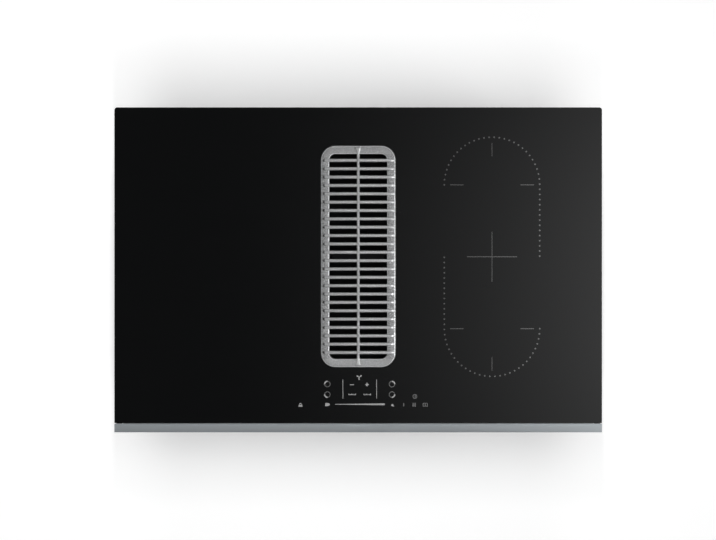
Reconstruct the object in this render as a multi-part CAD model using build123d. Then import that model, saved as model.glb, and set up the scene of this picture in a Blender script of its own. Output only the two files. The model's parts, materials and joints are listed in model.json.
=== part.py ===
from build123d import *
from math import cos, sin, radians
import os

# Built-in induction cooktop with an extractor that draws down through a grille in the glass.
# Millimetres. +X right, +Y to the rear, +Z up. The origin is the middle of the worktop
# cut-out in the plane of the worktop, so everything under the glass rim has z below 0.

# ---- Driving dimensions: worktop, glass, front strip and seal ----
hob_width = 780.0
hob_depth = 520.0
rim_overlap = 15.0
glass_thickness = 4.0
glass_corner = 4.5
glass_bevel = 0.6
seal_thickness = 2.0
seal_width = 9.0
seal_inset = 3.0
strip_depth = 14.0
strip_joint = 1.0
strip_slope = 0.7
strip_nose = 1.2
strip_ledge = 7.0
strip_ledge_thickness = 1.1

# ---- Driving dimensions: grille and the opening it lies in ----
vent_front_inset = 104.5
vent_rear_inset = 61.5
grille_width = 119.0
grille_corner = 23.0
grille_side_band = 13.3
grille_end_band = 13.2
grille_inner_corner = 9.0
grille_height = 14.0
grille_proud = 4.0
grille_gap = 1.2
bar_count = 24
bar_end_room = 10.275
bar_width = 5.0
bar_height = 8.5
bar_rise = 2.5
bar_inset = 4.2
bar_crown = 1.3
bar_end_slope = 2.4
rib_width = 4.2
rib_flare = 11.0
band_bevel = 1.6
pad_thickness = 0.5
pad_size = 8.0

# ---- Driving dimensions: collar, grease filter and drip tray ----
collar_flange = 15.0
collar_plate = 3.5
collar_wall = 2.5
grille_ledge = 7.0
filter_ledge = 4.0
filter_drop = 9.5
skirt_depth = 17.0
filter_depth = 46.0
filter_sheet = 1.0
filter_clearance = 1.7
filter_rim_clearance = 1.0
filter_lip = 4.0
filter_slot_gap = 6.0
filter_slot_pitch = 22.0
filter_slot_width = 12.0
mesh_thickness = 10.0
mesh_fold = 8.0
handle_width = 14.0
handle_rise = 5.0
drip_depth = 35.0
drip_sheet = 1.2
drip_clearance = 2.7
drip_fence = 3.0

# ---- Driving dimensions: steel tray under the glass ----
tray_height = 61.0
tray_side_room = 7.0
tray_front_room = 14.0
tray_rear_room = 8.0
tray_flange = 5.0
tray_corner = 6.0
sheet = 1.0
well_clearance = 0.8
well_height = 36.0
slot_width = 4.0
slot_pitch = 9.0
outlet_slot_height = 26.0
outlet_slots = 10
intake_slots = 6

# ---- Driving dimensions: coils ----
left_zone_inset = 168.0
right_zone_inset = 176.0
front_left_inset = 176.0
rear_left_inset = 133.0
flex_spacing = 192.0
front_left_radius = 84.0
rear_left_radius = 72.0
flex_radius = 72.0
flex_straight = 40.0
coil_eye = 20.0
mica_thickness = 1.0
winding_height = 5.0
turn_pitch = 18.0
carrier_thickness = 3.0
ferrite_width = 10.0
ferrite_height = 5.0
carrier_drop = 9.0
carrier_post = 9.0
carrier_post_circle_radius = 46.0
coil_plate_width = 220.0
coil_plate_front_room = 68.0
coil_plate_rear_room = 15.0
coil_plate_thickness = 1.2
sensor_radius = 6.0

# ---- Driving dimensions: electronics inside the tray ----
board_width = 200.0
board_depth = 170.0
board_shift = -48.0
board_thickness = 1.6
pip_height = 8.0
pip_radius = 3.5
pip_inset = 9.0
capacitor_count = 4
capacitor_pitch = 32.0
capacitor_radius = 11.0
capacitor_height = 22.0
choke_radius = 18.0
choke_height = 14.0
sink_width = 62.0
sink_length = 150.0
sink_height = 24.0
fin_count = 11
fin_thickness = 1.6
blower_width = 90.0
blower_height = 28.0
blower_shift = 102.0
blower_wall = 2.0
blower_blades = 9
blower_blade_thickness = 1.2
blower_cup_radius = 18.0
blower_inlet_radius = 28.0
panel_x = 2.0
panel_inset = 63.0
panel_width = 236.0
panel_depth = 56.0
panel_drop = 8.0
panel_height = 8.0
panel_leg = 8.0
panel_corner = 3.0
panel_inner_corner = 1.0
spring_radius = 3.5
key_inset = 10.0
slider_start = -34.0
slider_pitch = 14.0
slider_keys = 6
right_key_start = 52.0
right_key_pitch = 17.0
right_keys = 4
left_key_places = (-95.0, -51.0)
ring_key_x = 52.0
step_key_x = 12.0
upper_key_places = (-2.0, 15.0)

# ---- Driving dimensions: suction box and fan ----
hob_underside = 206.0
box_wall = 2.5
box_floor = 3.0
box_overhang = 13.8
box_flange = 10.0
box_corner = 14.0
box_foot_round = 6.0
port_length = 178.0
port_height = 34.0
port_top = 8.5
gasket_thickness = 2.0
gasket_width = 6.0
fan_reach = 135.0
fan_y = -20.0
channel_radius = 95.0
channel_gap = 1.5
channel_wall = 2.5
lid_drop = 46.0
lid_thickness = 2.5
scroll_start_radius = 102.0
scroll_end_radius = 140.0
scroll_wall = 2.5
tongue_angle = 55.0
tongue_round = 5.0
duct_width = 222.0
duct_height = 89.0
duct_wall = 2.0
duct_length = 32.0
duct_flange = 3.0
diffuser_straight = 22.0
throat_lean = 14.0
throat_length = 56.0
inlet_radius = 68.0
inlet_curl_radius = 12.0
wheel_radius = 94.0
wheel_eye_radius = 74.0
blade_count = 11
blade_inner_radius = 48.0
blade_height = 70.0
blade_thickness = 2.0
blade_sweep = 50.0
blade_bulge = 0.36
shroud_fall = 9.0
impeller_plate = 2.0
motor_can_radius = 39.0
motor_can_height = 38.0
motor_can_wall = 2.5
air_gap = 1.0
shaft_radius = 3.0
shaft_clearance = 0.05
bearing_radius = 8.0
bearing_height = 6.0
bush_height = 4.0
bush_radius = 7.0
bush_circle_radius = 34.0
motor_plate = 2.5
hanger_radius = 6.0
hanger_rear_inset = 17.5
hanger_left_inset = 17.5
hanger_right_inset = 60.0
driver_width = 108.0
driver_depth = 50.0
driver_height = 30.0
driver_bevel = 2.0

# ---- Driving dimensions: mains connection and fixings ----
terminal_side_inset = 120.0
terminal_rear_inset = 49.0
terminal_width = 96.0
terminal_depth = 80.0
terminal_height = 38.0
terminal_wall = 2.0
terminal_corner = 5.0
terminal_ways = 5
terminal_pitch = 12.0
terminal_block_depth = 24.0
terminal_block_height = 18.0
gland_bore_radius = 8.0
gland_length = 16.0
clamp_side_inset = 26.0
clamp_front_inset = 41.0
clamp_rear_inset = 37.0
clamp_length = 62.0
clamp_width = 22.0
clamp_thickness = 3.0
clamp_bolt_length = 36.0
clamp_bolt_radius = 3.0
pivot_radius = 3.0
body_gap = 0.3
screw_radius = 2.0
screw_head = 4.0
screw_head_height = 2.2
flange_screw_inset = 43.5

# ---- Levels and edges that follow ----
front_edge = -hob_depth / 2
rear_edge = hob_depth / 2
vent_front = front_edge + vent_front_inset
vent_rear = rear_edge - vent_rear_inset
vent_y = (vent_front + vent_rear) / 2
grille_length = vent_rear - vent_front
grille_inner_length = grille_length - 2 * grille_end_band
bar_pitch = (grille_inner_length - 2 * bar_end_room) / (bar_count - 1)
cutout_width = hob_width - 2 * rim_overlap
cutout_depth = hob_depth - 2 * rim_overlap
strip_rear = front_edge + strip_depth
glass_under = seal_thickness
glass_top = glass_under + glass_thickness
vent_width = grille_width + 2 * grille_gap
vent_length = grille_length + 2 * grille_gap
vent_corner = grille_corner + grille_gap
grille_top = glass_top + grille_proud
grille_under = grille_top - grille_height
band_top = grille_top - bar_rise
grille_seat = grille_under - pad_thickness
filter_seat = grille_seat - filter_drop
ledge_width = vent_width - 2 * grille_ledge
ledge_length = vent_length - 2 * grille_ledge
ledge_corner = vent_corner - grille_ledge
skirt_width = ledge_width - 2 * filter_ledge
skirt_length = ledge_length - 2 * filter_ledge
skirt_corner = ledge_corner - filter_ledge
basket_width = skirt_width - 2 * filter_clearance
basket_length = skirt_length - 2 * filter_clearance
basket_corner = skirt_corner - filter_clearance
neck_width = ledge_width + 2 * collar_wall
neck_length = ledge_length + 2 * collar_wall
neck_corner = ledge_corner + collar_wall
neck_top = filter_seat - collar_wall
filter_under = filter_seat - filter_depth
tray_under = glass_under - tray_height
tray_floor = tray_under + sheet
tray_width = cutout_width - 2 * tray_side_room
tray_front = -cutout_depth / 2 + tray_front_room
tray_rear = cutout_depth / 2 - tray_rear_room
tray_depth = tray_rear - tray_front
tray_y = (tray_rear + tray_front) / 2
panel_y = front_edge + panel_inset
board_y = tray_y + board_shift
blower_y = tray_y + blower_shift
left_zone_x = left_zone_inset - hob_width / 2
right_zone_x = hob_width / 2 - right_zone_inset
front_left_y = front_edge + front_left_inset
rear_left_y = rear_edge - rear_left_inset
coil_plate_front = tray_front + coil_plate_front_room
coil_plate_rear = tray_rear - coil_plate_rear_room
coil_plate_depth = coil_plate_rear - coil_plate_front
coil_plate_y = (coil_plate_rear + coil_plate_front) / 2
terminal_x = terminal_side_inset - hob_width / 2
terminal_y = tray_rear - terminal_rear_inset
clamp_x = tray_width / 2 - clamp_side_inset
clamp_front_y = tray_front + clamp_front_inset
clamp_rear_y = tray_rear - clamp_rear_inset
base_level = -hob_underside
box_width = neck_width + 2 * box_overhang
box_length = neck_length + 2 * box_overhang
box_inside = base_level + box_floor
flange_screw_pitch = (box_length - 2 * flange_screw_inset) / 3
box_flange_under = tray_under - box_wall
port_y = fan_y
fan_x = box_width / 2 + fan_reach
diffuser_end = tray_rear - duct_length
port_upper = box_flange_under - port_top
port_middle = port_upper - port_height / 2
channel_top = box_flange_under - channel_gap
channel_left = box_width / 2 + gasket_thickness
lid_top = tray_under - lid_drop
lid_under = lid_top - lid_thickness
scroll_floor = base_level + box_floor
exit_right = fan_x + scroll_end_radius
duct_inner_width = duct_width - 2 * duct_wall
duct_inner_height = duct_height - 2 * duct_wall
exit_left = exit_right - duct_inner_width
duct_x = (exit_left + exit_right) / 2
duct_z = (lid_under + scroll_floor) / 2
mica_under = glass_under - mica_thickness
winding_under = mica_under - winding_height
carrier_under = winding_under - carrier_thickness
coil_plate_top = carrier_under - carrier_drop
coil_plate_under = coil_plate_top - coil_plate_thickness
board_top = tray_floor + pip_height + board_thickness
panel_board_top = glass_under - panel_drop
motor_plate_under = scroll_floor + bush_height
motor_plate_top = motor_plate_under + motor_plate
can_under = motor_plate_top + air_gap + impeller_plate
can_top = can_under + motor_can_height
impeller_under = motor_plate_top + air_gap
blade_under = impeller_under + impeller_plate
blade_top = blade_under + blade_height

zones = {
    "front_left": (left_zone_x, front_left_y, front_left_radius, 0.0),
    "rear_left": (left_zone_x, rear_left_y, rear_left_radius, 0.0),
    "front_right": (right_zone_x, vent_y - flex_spacing / 2, flex_radius, flex_straight),
    "rear_right": (right_zone_x, vent_y + flex_spacing / 2, flex_radius, flex_straight),
}
sides = {"left": left_zone_x, "right": right_zone_x}


def rounded_block(width, depth, corner, bottom, top, x=0.0, y=0.0):
    """A block with rounded upright edges, centred on x and y."""
    return extrude(Pos(x, y, bottom) * RectangleRounded(width, depth, corner), top - bottom)


def rounded_tube(width, depth, corner, wall, bottom, top, x=0.0, y=0.0):
    """A rounded block hollowed right through, its wall measured inwards."""
    outer = RectangleRounded(width, depth, corner)
    inner = RectangleRounded(width - 2 * wall, depth - 2 * wall, max(corner - wall, 0.5))
    return extrude(Pos(x, y, bottom) * (outer - inner), top - bottom)


def block(x0, x1, y0, y1, z0, z1):
    """A plain block between two corners."""
    return Pos((x0 + x1) / 2, (y0 + y1) / 2, (z0 + z1) / 2) * Box(x1 - x0, y1 - y0, z1 - z0)


def post(x, y, radius, bottom, top):
    """An upright cylinder."""
    return Pos(x, y, (bottom + top) / 2) * Cylinder(radius, top - bottom)


def polar(radius, angle, x=0.0, y=0.0):
    """A point at an angle in degrees round x and y."""
    return (x + radius * cos(radians(angle)), y + radius * sin(radians(angle)))


def zone_outline(radius, straight):
    """A circle, or a stadium that is longer from front to rear."""
    if straight == 0.0:
        return Circle(radius)
    return SlotCenterToCenter(straight, 2 * radius, rotation=90)


def group(solids):
    """Like pieces that stay separate solids in one file."""
    return Compound(children=[Compound(s.wrapped) if isinstance(s, Part) else s for s in solids])


def save(name, shape):
    """Write one sub-part."""
    os.makedirs("parts", exist_ok=True)
    export_step(shape, os.path.join("parts", name + ".step"))


def make_glass():
    """Ceramic glass: square at the strip, rounded at the rear, with the vent cut out."""
    glass_front = strip_rear + strip_joint
    plate = block(-hob_width / 2, hob_width / 2, glass_front, rear_edge, glass_under, glass_top)
    plate = fillet(plate.edges().filter_by(Axis.Z).sort_by(Axis.Y)[-2:], glass_corner)
    rim = plate.faces().sort_by(Axis.Z)[-1].edges()
    front_line = rim.sort_by(Axis.Y)[0]
    plate = chamfer([e for e in rim if e != front_line], glass_bevel)
    plate -= rounded_block(vent_width, vent_length, vent_corner, glass_under - 1, glass_top + 1, 0, vent_y)
    lip = [e for e in plate.faces().sort_by(Axis.Z)[-1].inner_wires()[0].edges()]
    return chamfer(lip, glass_bevel / 2)


def make_strip():
    """Steel strip along the front: a gently sloping top, a round nose and a ledge under the glass."""
    nose_top = glass_top - strip_slope
    outline = Polyline(
        (front_edge, glass_under),
        (front_edge, nose_top),
        (strip_rear, glass_top),
        (strip_rear, glass_under),
        close=True,
    )
    profile = make_face(outline)
    nose = profile.vertices().sort_by(Axis.X)[:2]
    profile = fillet(nose.sort_by(Axis.Y)[-1], strip_nose)
    bar = extrude(Plane.YZ * profile, hob_width / 2, both=True)
    ledge_reach = hob_width / 2 - seal_inset - seal_width - strip_joint
    ledge = block(
        -ledge_reach, ledge_reach, strip_rear - strip_nose, strip_rear + strip_ledge,
        glass_under - strip_ledge_thickness, glass_under,
    )
    return bar + ledge


def make_seal():
    """Foam seal between the rim and the worktop."""
    width = hob_width - 2 * seal_inset
    depth = hob_depth - 2 * seal_inset
    return rounded_tube(width, depth, glass_corner, seal_width, 0.0, seal_thickness)


def grille_bar(length, width):
    """One cast bar along X, its top at z = 0: crowned across and sloping down at both ends."""
    side = Polyline(
        (-length / 2, -bar_height),
        (-length / 2, -bar_end_slope),
        (-length / 2 + bar_end_slope, 0),
        (length / 2 - bar_end_slope, 0),
        (length / 2, -bar_end_slope),
        (length / 2, -bar_height),
        close=True,
    )
    bar = extrude(Plane.XZ * make_face(side), width / 2, both=True)
    return chamfer(bar.edges().filter_by(Axis.X).group_by(Axis.Z)[-1], bar_crown)


def make_grille():
    """Cast grille: a rounded frame, cross bars that ride over its sides and a lengthwise rib."""
    frame = rounded_block(grille_width, grille_length, grille_corner, grille_under, band_top, 0, vent_y)
    frame = chamfer(frame.faces().sort_by(Axis.Z)[-1].edges(), band_bevel)
    inner_width = grille_width - 2 * grille_side_band
    frame -= rounded_block(
        inner_width, grille_inner_length, grille_inner_corner, grille_under - 1, band_top + 1, 0, vent_y
    )
    first = vent_y - bar_pitch * (bar_count - 1) / 2
    bar_length = grille_width - 2 * bar_inset
    bar = grille_bar(bar_length, bar_width)
    bars = [Pos(0, first + i * bar_pitch, grille_top) * bar for i in range(bar_count)]
    rib_length = grille_length - 2 * bar_inset
    rib = Pos(0, vent_y, grille_top) * Rot(0, 0, 90) * grille_bar(rib_length, rib_width)
    body = frame + bars + rib
    for end in (-1, 1):
        tip = vent_y + end * (grille_length / 2 - bar_inset)
        root = vent_y + end * (grille_length / 2 - grille_end_band)
        flare = Polyline(
            (-rib_flare / 2, tip), (rib_flare / 2, tip), (rib_width / 2, root), (-rib_width / 2, root),
            close=True,
        )
        wedge = extrude(Pos(0, 0, band_top - 1) * make_face(flare), grille_top - band_top + 1)
        wedge = chamfer(wedge.faces().sort_by(Axis.Z)[-1].edges(), bar_rise * 0.6)
        body += wedge
    return body


def make_grille_pads():
    """Four silicone pads that carry the grille on its ledge."""
    x = (vent_width / 2 + ledge_width / 2) / 2 - grille_gap / 2
    y = grille_length / 2 - grille_corner - pad_size
    spots = [(sx * x, vent_y + sy * y) for sx in (-1, 1) for sy in (-1, 1)]
    half = grille_ledge / 2 - grille_gap
    return [
        block(px - half, px + half, py - pad_size / 2, py + pad_size / 2, grille_seat, grille_under)
        for px, py in spots
    ]


def make_collar():
    """Stepped frame under the glass: a ledge for the grille, a lower one for the filter, a skirt."""
    flange_under = glass_under - collar_plate
    ledge_under = grille_seat - collar_wall
    flange = rounded_tube(
        vent_width + 2 * collar_flange,
        vent_length + 2 * collar_flange,
        vent_corner + collar_flange,
        collar_flange,
        flange_under,
        glass_under,
        0,
        vent_y,
    )
    throat = rounded_tube(
        vent_width + 2 * collar_wall,
        vent_length + 2 * collar_wall,
        vent_corner + collar_wall,
        collar_wall,
        ledge_under,
        glass_under,
        0,
        vent_y,
    )
    upper_step = rounded_tube(
        vent_width + 2 * collar_wall,
        vent_length + 2 * collar_wall,
        vent_corner + collar_wall,
        collar_wall + grille_ledge,
        ledge_under,
        grille_seat,
        0,
        vent_y,
    )
    waist = rounded_tube(
        neck_width, neck_length, neck_corner, collar_wall, neck_top, grille_seat, 0, vent_y
    )
    lower_step = rounded_tube(
        neck_width, neck_length, neck_corner, collar_wall + filter_ledge, neck_top, filter_seat, 0, vent_y
    )
    skirt = rounded_tube(
        skirt_width + 2 * sheet,
        skirt_length + 2 * sheet,
        skirt_corner + sheet,
        sheet,
        neck_top - skirt_depth,
        filter_seat,
        0,
        vent_y,
    )
    return flange + [throat, upper_step, waist, lower_step, skirt]


def make_filter_basket():
    """Folded frame of the grease filter: a rim to hang by, walls, and a lip that carries the floor."""
    rim_top = filter_seat + filter_sheet
    rim = rounded_tube(
        ledge_width - 2 * filter_rim_clearance,
        ledge_length - 2 * filter_rim_clearance,
        ledge_corner - filter_rim_clearance,
        filter_ledge + filter_clearance - filter_rim_clearance + filter_sheet,
        filter_seat,
        rim_top,
        0,
        vent_y,
    )
    walls = rounded_tube(
        basket_width, basket_length, basket_corner, filter_sheet, filter_under, rim_top, 0, vent_y
    )
    lip = rounded_tube(
        basket_width,
        basket_length,
        basket_corner,
        filter_lip,
        filter_under,
        filter_under + filter_sheet,
        0,
        vent_y,
    )
    return rim + [walls, lip]


def make_filter_floor():
    """Slotted floor sheet that lies on the lip of the basket."""
    bottom = filter_under + filter_sheet
    room = filter_sheet + body_gap
    plate = rounded_block(
        basket_width - 2 * room, basket_length - 2 * room, basket_corner - room,
        bottom, bottom + filter_sheet, 0, vent_y,
    )
    rows = int((basket_length - 2 * filter_lip - filter_slot_width) / filter_slot_pitch)
    slot_length = basket_width / 2 - filter_lip - filter_slot_gap
    slot_x = (slot_length + filter_slot_gap) / 2
    first = vent_y - filter_slot_pitch * (rows - 1) / 2
    slot = Rectangle(slot_length, filter_slot_width)
    cuts = Sketch()
    for i in range(rows):
        for side in (-1, 1):
            cuts += Pos(side * slot_x, first + i * filter_slot_pitch) * slot
    return plate - extrude(Pos(0, 0, bottom - 1) * cuts, filter_sheet + 2)


def make_filter_mesh():
    """Folded mesh pack on the basket floor."""
    bottom = filter_under + 2 * filter_sheet
    width = basket_width - 6 * filter_sheet
    length = basket_length - 6 * filter_sheet - 2 * basket_corner
    folds = int(length / mesh_fold)
    step = length / folds
    start = vent_y - length / 2
    crest = bottom + mesh_thickness
    valley = crest - mesh_fold / 2
    top_line = []
    for i in range(folds):
        top_line.append((start + i * step, valley))
        top_line.append((start + (i + 0.5) * step, crest))
    top_line.append((start + length, valley))
    outline = Polyline((start, bottom), *top_line, (start + length, bottom), close=True)
    return extrude(Plane.YZ * make_face(outline), width / 2, both=True)


def make_filter_handle():
    """Strap handle across the basket, its feet on the rim."""
    foot_level = filter_seat + filter_sheet
    foot_out = ledge_width / 2 - filter_rim_clearance - 0.5
    foot_in = basket_width / 2 - filter_sheet
    top = foot_level + handle_rise
    line = Polyline(
        (-foot_out, foot_level),
        (-foot_in + filter_sheet, foot_level),
        (-foot_in + handle_rise, top - filter_sheet),
        (foot_in - handle_rise, top - filter_sheet),
        (foot_in - filter_sheet, foot_level),
        (foot_out, foot_level),
        (foot_out, foot_level + filter_sheet),
        (foot_in, foot_level + filter_sheet),
        (foot_in - handle_rise, top),
        (-foot_in + handle_rise, top),
        (-foot_in, foot_level + filter_sheet),
        (-foot_out, foot_level + filter_sheet),
        close=True,
    )
    strap = extrude(Plane.XZ * make_face(line), handle_width / 2, both=True)
    return Pos(0, vent_y, 0) * strap


def make_drip_tray():
    """Overflow tray on the floor of the suction box, narrow enough to lift out through the collar."""
    width = skirt_width - 2 * drip_clearance
    length = skirt_length - 2 * drip_clearance
    corner = skirt_corner
    top = box_inside + drip_depth
    tray = rounded_block(width, length, corner, box_inside, top, 0, vent_y)
    tray = chamfer(tray.faces().sort_by(Axis.Z)[0].edges(), 4 * drip_sheet)
    hollow = rounded_block(
        width - 2 * drip_sheet,
        length - 2 * drip_sheet,
        corner - drip_sheet,
        box_inside + drip_sheet,
        top + 1,
        0,
        vent_y,
    )
    hollow = chamfer(hollow.faces().sort_by(Axis.Z)[0].edges(), 3.5 * drip_sheet)
    return tray - hollow


def slot_row(count, length, x, y):
    """A row of upright slots seen in plan, spread along X."""
    row = Sketch()
    slot = Rectangle(slot_width, length)
    for i in range(count):
        row += Pos(x + (i - (count - 1) / 2) * slot_pitch, y) * slot
    return row


def make_tray():
    """Pressed steel tray: flanged rim, a well round the suction neck, air slots below and at the rear."""
    rim_bottom = glass_under - sheet
    corner = tray_corner
    shell = rounded_block(tray_width, tray_depth, corner, tray_under, glass_under, 0, tray_y)
    flange = rounded_block(
        tray_width + 2 * tray_flange,
        tray_depth + 2 * tray_flange,
        corner + tray_flange,
        rim_bottom,
        glass_under,
        0,
        tray_y,
    )
    hollow = rounded_block(
        tray_width - 2 * sheet, tray_depth - 2 * sheet, corner - sheet, tray_floor, glass_under + 1, 0, tray_y
    )
    tray = shell + flange - hollow
    hole_width = neck_width + 2 * well_clearance
    hole_length = neck_length + 2 * well_clearance
    hole_corner = neck_corner + well_clearance
    well = rounded_block(
        hole_width + 2 * sheet,
        hole_length + 2 * sheet,
        hole_corner + sheet,
        tray_under,
        tray_floor + well_height,
        0,
        vent_y,
    )
    tray += well
    tray -= rounded_block(hole_width, hole_length, hole_corner, tray_under - 1, glass_under + 1, 0, vent_y)
    for x in sides.values():
        intake = slot_row(intake_slots, blower_width * 0.6, x, blower_y)
        tray -= extrude(Pos(0, 0, tray_under - 1) * intake, sheet + 2)
        for sx in (-1, 1):
            for sy in (-1, 1):
                pip_x = x + sx * (board_width / 2 - pip_inset)
                pip_y = board_y + sy * (board_depth / 2 - pip_inset)
                tray += post(pip_x, pip_y, pip_radius, tray_floor - sheet / 2, tray_floor + pip_height)
    outlet = Sketch()
    slot = Rectangle(slot_width, outlet_slot_height)
    middle = (tray_floor + rim_bottom) / 2
    for x in sides.values():
        for i in range(outlet_slots):
            outlet += Pos(x + (i - (outlet_slots - 1) / 2) * slot_pitch, middle) * slot
    tray -= extrude(Plane.XZ.offset(-tray_rear - 1) * outlet, sheet + 2)
    return tray


def make_mica():
    """Insulating sheets between the glass and the coils."""
    sheets = []
    for x, y, radius, straight in zones.values():
        outline = zone_outline(radius + 2 * mica_thickness, straight)
        sheets.append(extrude(Pos(x, y, mica_under) * outline, mica_thickness))
    return sheets


def make_winding(zone):
    """Flat wound coil with a groove between its layers of turns."""
    x, y, radius, straight = zone
    ring = zone_outline(radius, straight) - zone_outline(coil_eye, straight)
    coil = extrude(Pos(x, y, winding_under) * ring, winding_height)
    grooves = int((radius - coil_eye) / turn_pitch)
    for i in range(1, grooves):
        edge = radius - i * turn_pitch
        groove = zone_outline(edge, straight) - zone_outline(edge - mica_thickness, straight)
        coil -= extrude(Pos(x, y, mica_under - mica_thickness) * groove, 2 * mica_thickness)
    return coil


def make_carrier(zone):
    """Coil carrier plate with three posts that stand on the coil plate."""
    x, y, radius, straight = zone
    plate_outline = zone_outline(radius, straight) - Circle(sensor_radius)
    carrier = extrude(Pos(x, y, carrier_under) * plate_outline, carrier_thickness)
    half = carrier_post / 2
    for angle in (22.5, 157.5, 292.5):
        px, py = polar(carrier_post_circle_radius, angle, x, y)
        carrier += block(
            px - half, px + half, py - half, py + half, coil_plate_top, winding_under - carrier_thickness / 2
        )
    return carrier


def make_ferrites():
    """Eight ferrite bars under each coil carrier."""
    bars = []
    for x, y, radius, straight in zones.values():
        inner = 1.4 * coil_eye
        length = radius - inner - mica_thickness
        bar = Box(length, ferrite_width, ferrite_height)
        for i in range(8):
            placed = Rot(0, 0, 45 * i) * Pos(inner + length / 2, 0, 0) * bar
            bars.append(Pos(x, y, carrier_under - ferrite_height / 2) * placed)
    return bars


def make_sensors():
    """Temperature sensors in the middle of the coils, pressed against the mica."""
    radius = sensor_radius - 2 * well_clearance
    return [
        post(x, y, radius, coil_plate_top, mica_under) for x, y, _, _ in zones.values()
    ]


def make_coil_plate(x):
    """Aluminium plate that carries two coils on four legs."""
    plate = rounded_block(
        coil_plate_width, coil_plate_depth, tray_corner, coil_plate_under, coil_plate_top, x, coil_plate_y
    )
    leg_x = coil_plate_width / 2 - 2 * tray_corner
    leg_y = coil_plate_depth / 2 - coil_plate_thickness
    for sx in (-1, 1):
        for sy in (-1, 1):
            cx = x + sx * leg_x
            cy = coil_plate_y + sy * leg_y
            toe = cy - sy * 2 * tray_corner
            half = tray_corner
            leg = block(
                cx - half, cx + half, cy - coil_plate_thickness / 2, cy + coil_plate_thickness / 2,
                tray_floor, coil_plate_top,
            )
            foot = block(
                cx - half, cx + half, min(cy, toe), max(cy, toe),
                tray_floor, tray_floor + coil_plate_thickness,
            )
            plate = plate + leg + foot
    return plate


def make_board(x):
    """Power board with its capacitors and choke."""
    bottom = tray_floor + pip_height
    board = block(
        x - board_width / 2, x + board_width / 2, board_y - board_depth / 2, board_y + board_depth / 2,
        bottom, board_top,
    )
    root = board_top - board_thickness / 2
    cap_x = x + board_width / 2 - 2 * capacitor_radius
    for i in range(capacitor_count):
        cap_y = board_y + (i - (capacitor_count - 1) / 2) * capacitor_pitch
        board += post(cap_x, cap_y, capacitor_radius, root, board_top + capacitor_height)
    choke_x = x - board_width / 2 + 1.5 * choke_radius
    for side in (-1, 1):
        board += post(choke_x, board_y + side * board_depth / 4, choke_radius, root, board_top + choke_height)
    return board


def make_sink(x):
    """Finned heat sink on a power board, its fins along the air stream."""
    base = sink_height / 5
    pitch = (sink_width - fin_thickness) / (fin_count - 1)
    profile = Pos(x, board_top + base / 2) * Rectangle(sink_width, base)
    for i in range(fin_count):
        fin_x = x - sink_width / 2 + fin_thickness / 2 + i * pitch
        profile += Pos(fin_x, board_top + sink_height / 2) * Rectangle(fin_thickness, sink_height)
    sink = extrude(Plane.XZ * profile, sink_length / 2, both=True)
    return Pos(0, board_y, 0) * sink


def make_blower_case(x):
    """Square blower case, open below over the tray slots and at the front towards the heat sink."""
    half = blower_width / 2
    top = tray_floor + blower_height
    case = rounded_block(blower_width, blower_width, tray_corner, tray_floor, top, x, blower_y)
    chamber = post(x, blower_y, half - blower_wall, tray_floor + blower_wall, top - blower_wall)
    inlet = post(x, blower_y, blower_inlet_radius, tray_floor - 1, top - blower_wall)
    outlet = block(
        x - sink_width / 2, x + sink_width / 2, blower_y - half - 1, blower_y,
        tray_floor + blower_wall, top - blower_wall,
    )
    axle = post(x, blower_y, shaft_radius, tray_floor + blower_wall, top - blower_wall / 2)
    return case - chamber - inlet - outlet + axle


def make_blower_rotor(x):
    """Small blower wheel with straight blades round a cup."""
    half = blower_width / 2
    bottom = tray_floor + 2 * blower_wall
    top = tray_floor + blower_height - 2 * blower_wall
    reach = half - 3 * blower_wall
    plate = post(x, blower_y, reach, top - blower_wall, top)
    cup = post(x, blower_y, blower_cup_radius, bottom, top)
    wheel = plate + cup
    for i in range(blower_blades):
        blade = block(
            blower_cup_radius - blower_wall, reach, -blower_blade_thickness / 2, blower_blade_thickness / 2,
            bottom, top - blower_wall / 2
        )
        wheel += Pos(x, blower_y, 0) * Rot(0, 0, 360 / blower_blades * i) * blade
    return wheel - post(x, blower_y, shaft_radius + shaft_clearance, bottom - 1, top + 1)


def make_panel_frame():
    """Plastic frame that holds the touch board, on four legs."""
    floor_level = panel_board_top - board_thickness - collar_wall
    frame = rounded_block(
        panel_width, panel_depth, panel_corner, floor_level, floor_level + panel_height, panel_x, panel_y
    )
    frame -= rounded_block(
        panel_width - 2 * collar_wall, panel_depth - 2 * collar_wall, panel_inner_corner,
        floor_level + collar_wall, floor_level + panel_height + 1, panel_x, panel_y,
    )
    for sx in (-1, 1):
        for sy in (-1, 1):
            leg_x = panel_x + sx * (panel_width / 2 - panel_leg)
            leg_y = panel_y + sy * (panel_depth / 2 - panel_leg)
            half = panel_leg / 2
            frame += block(
                leg_x - half, leg_x + half, leg_y - half, leg_y + half,
                tray_floor, floor_level + collar_wall / 2,
            )
    return frame


def make_panel_board():
    """Touch board in its frame."""
    room = collar_wall + body_gap
    return rounded_block(
        panel_width - 2 * room, panel_depth - 2 * room, panel_inner_corner,
        panel_board_top - board_thickness, panel_board_top, panel_x, panel_y,
    )


def make_touch_springs():
    """Contact springs between the touch board and the glass, one under each key and six on the slider."""
    near = key_inset - panel_depth / 2
    spots = [(x, near) for x in left_key_places]
    spots += [(right_key_start + right_key_pitch * i, near) for i in range(right_keys)]
    spots += [(slider_start + slider_pitch * i, near) for i in range(slider_keys)]
    spots += [(sx * x, y) for x in (ring_key_x, step_key_x) for sx in (-1, 1) for y in upper_key_places]
    spring = RegularPolygon(spring_radius, 6)
    return [
        extrude(Pos(panel_x + x, panel_y + y, panel_board_top) * spring, panel_drop) for x, y in spots
    ]


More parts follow.
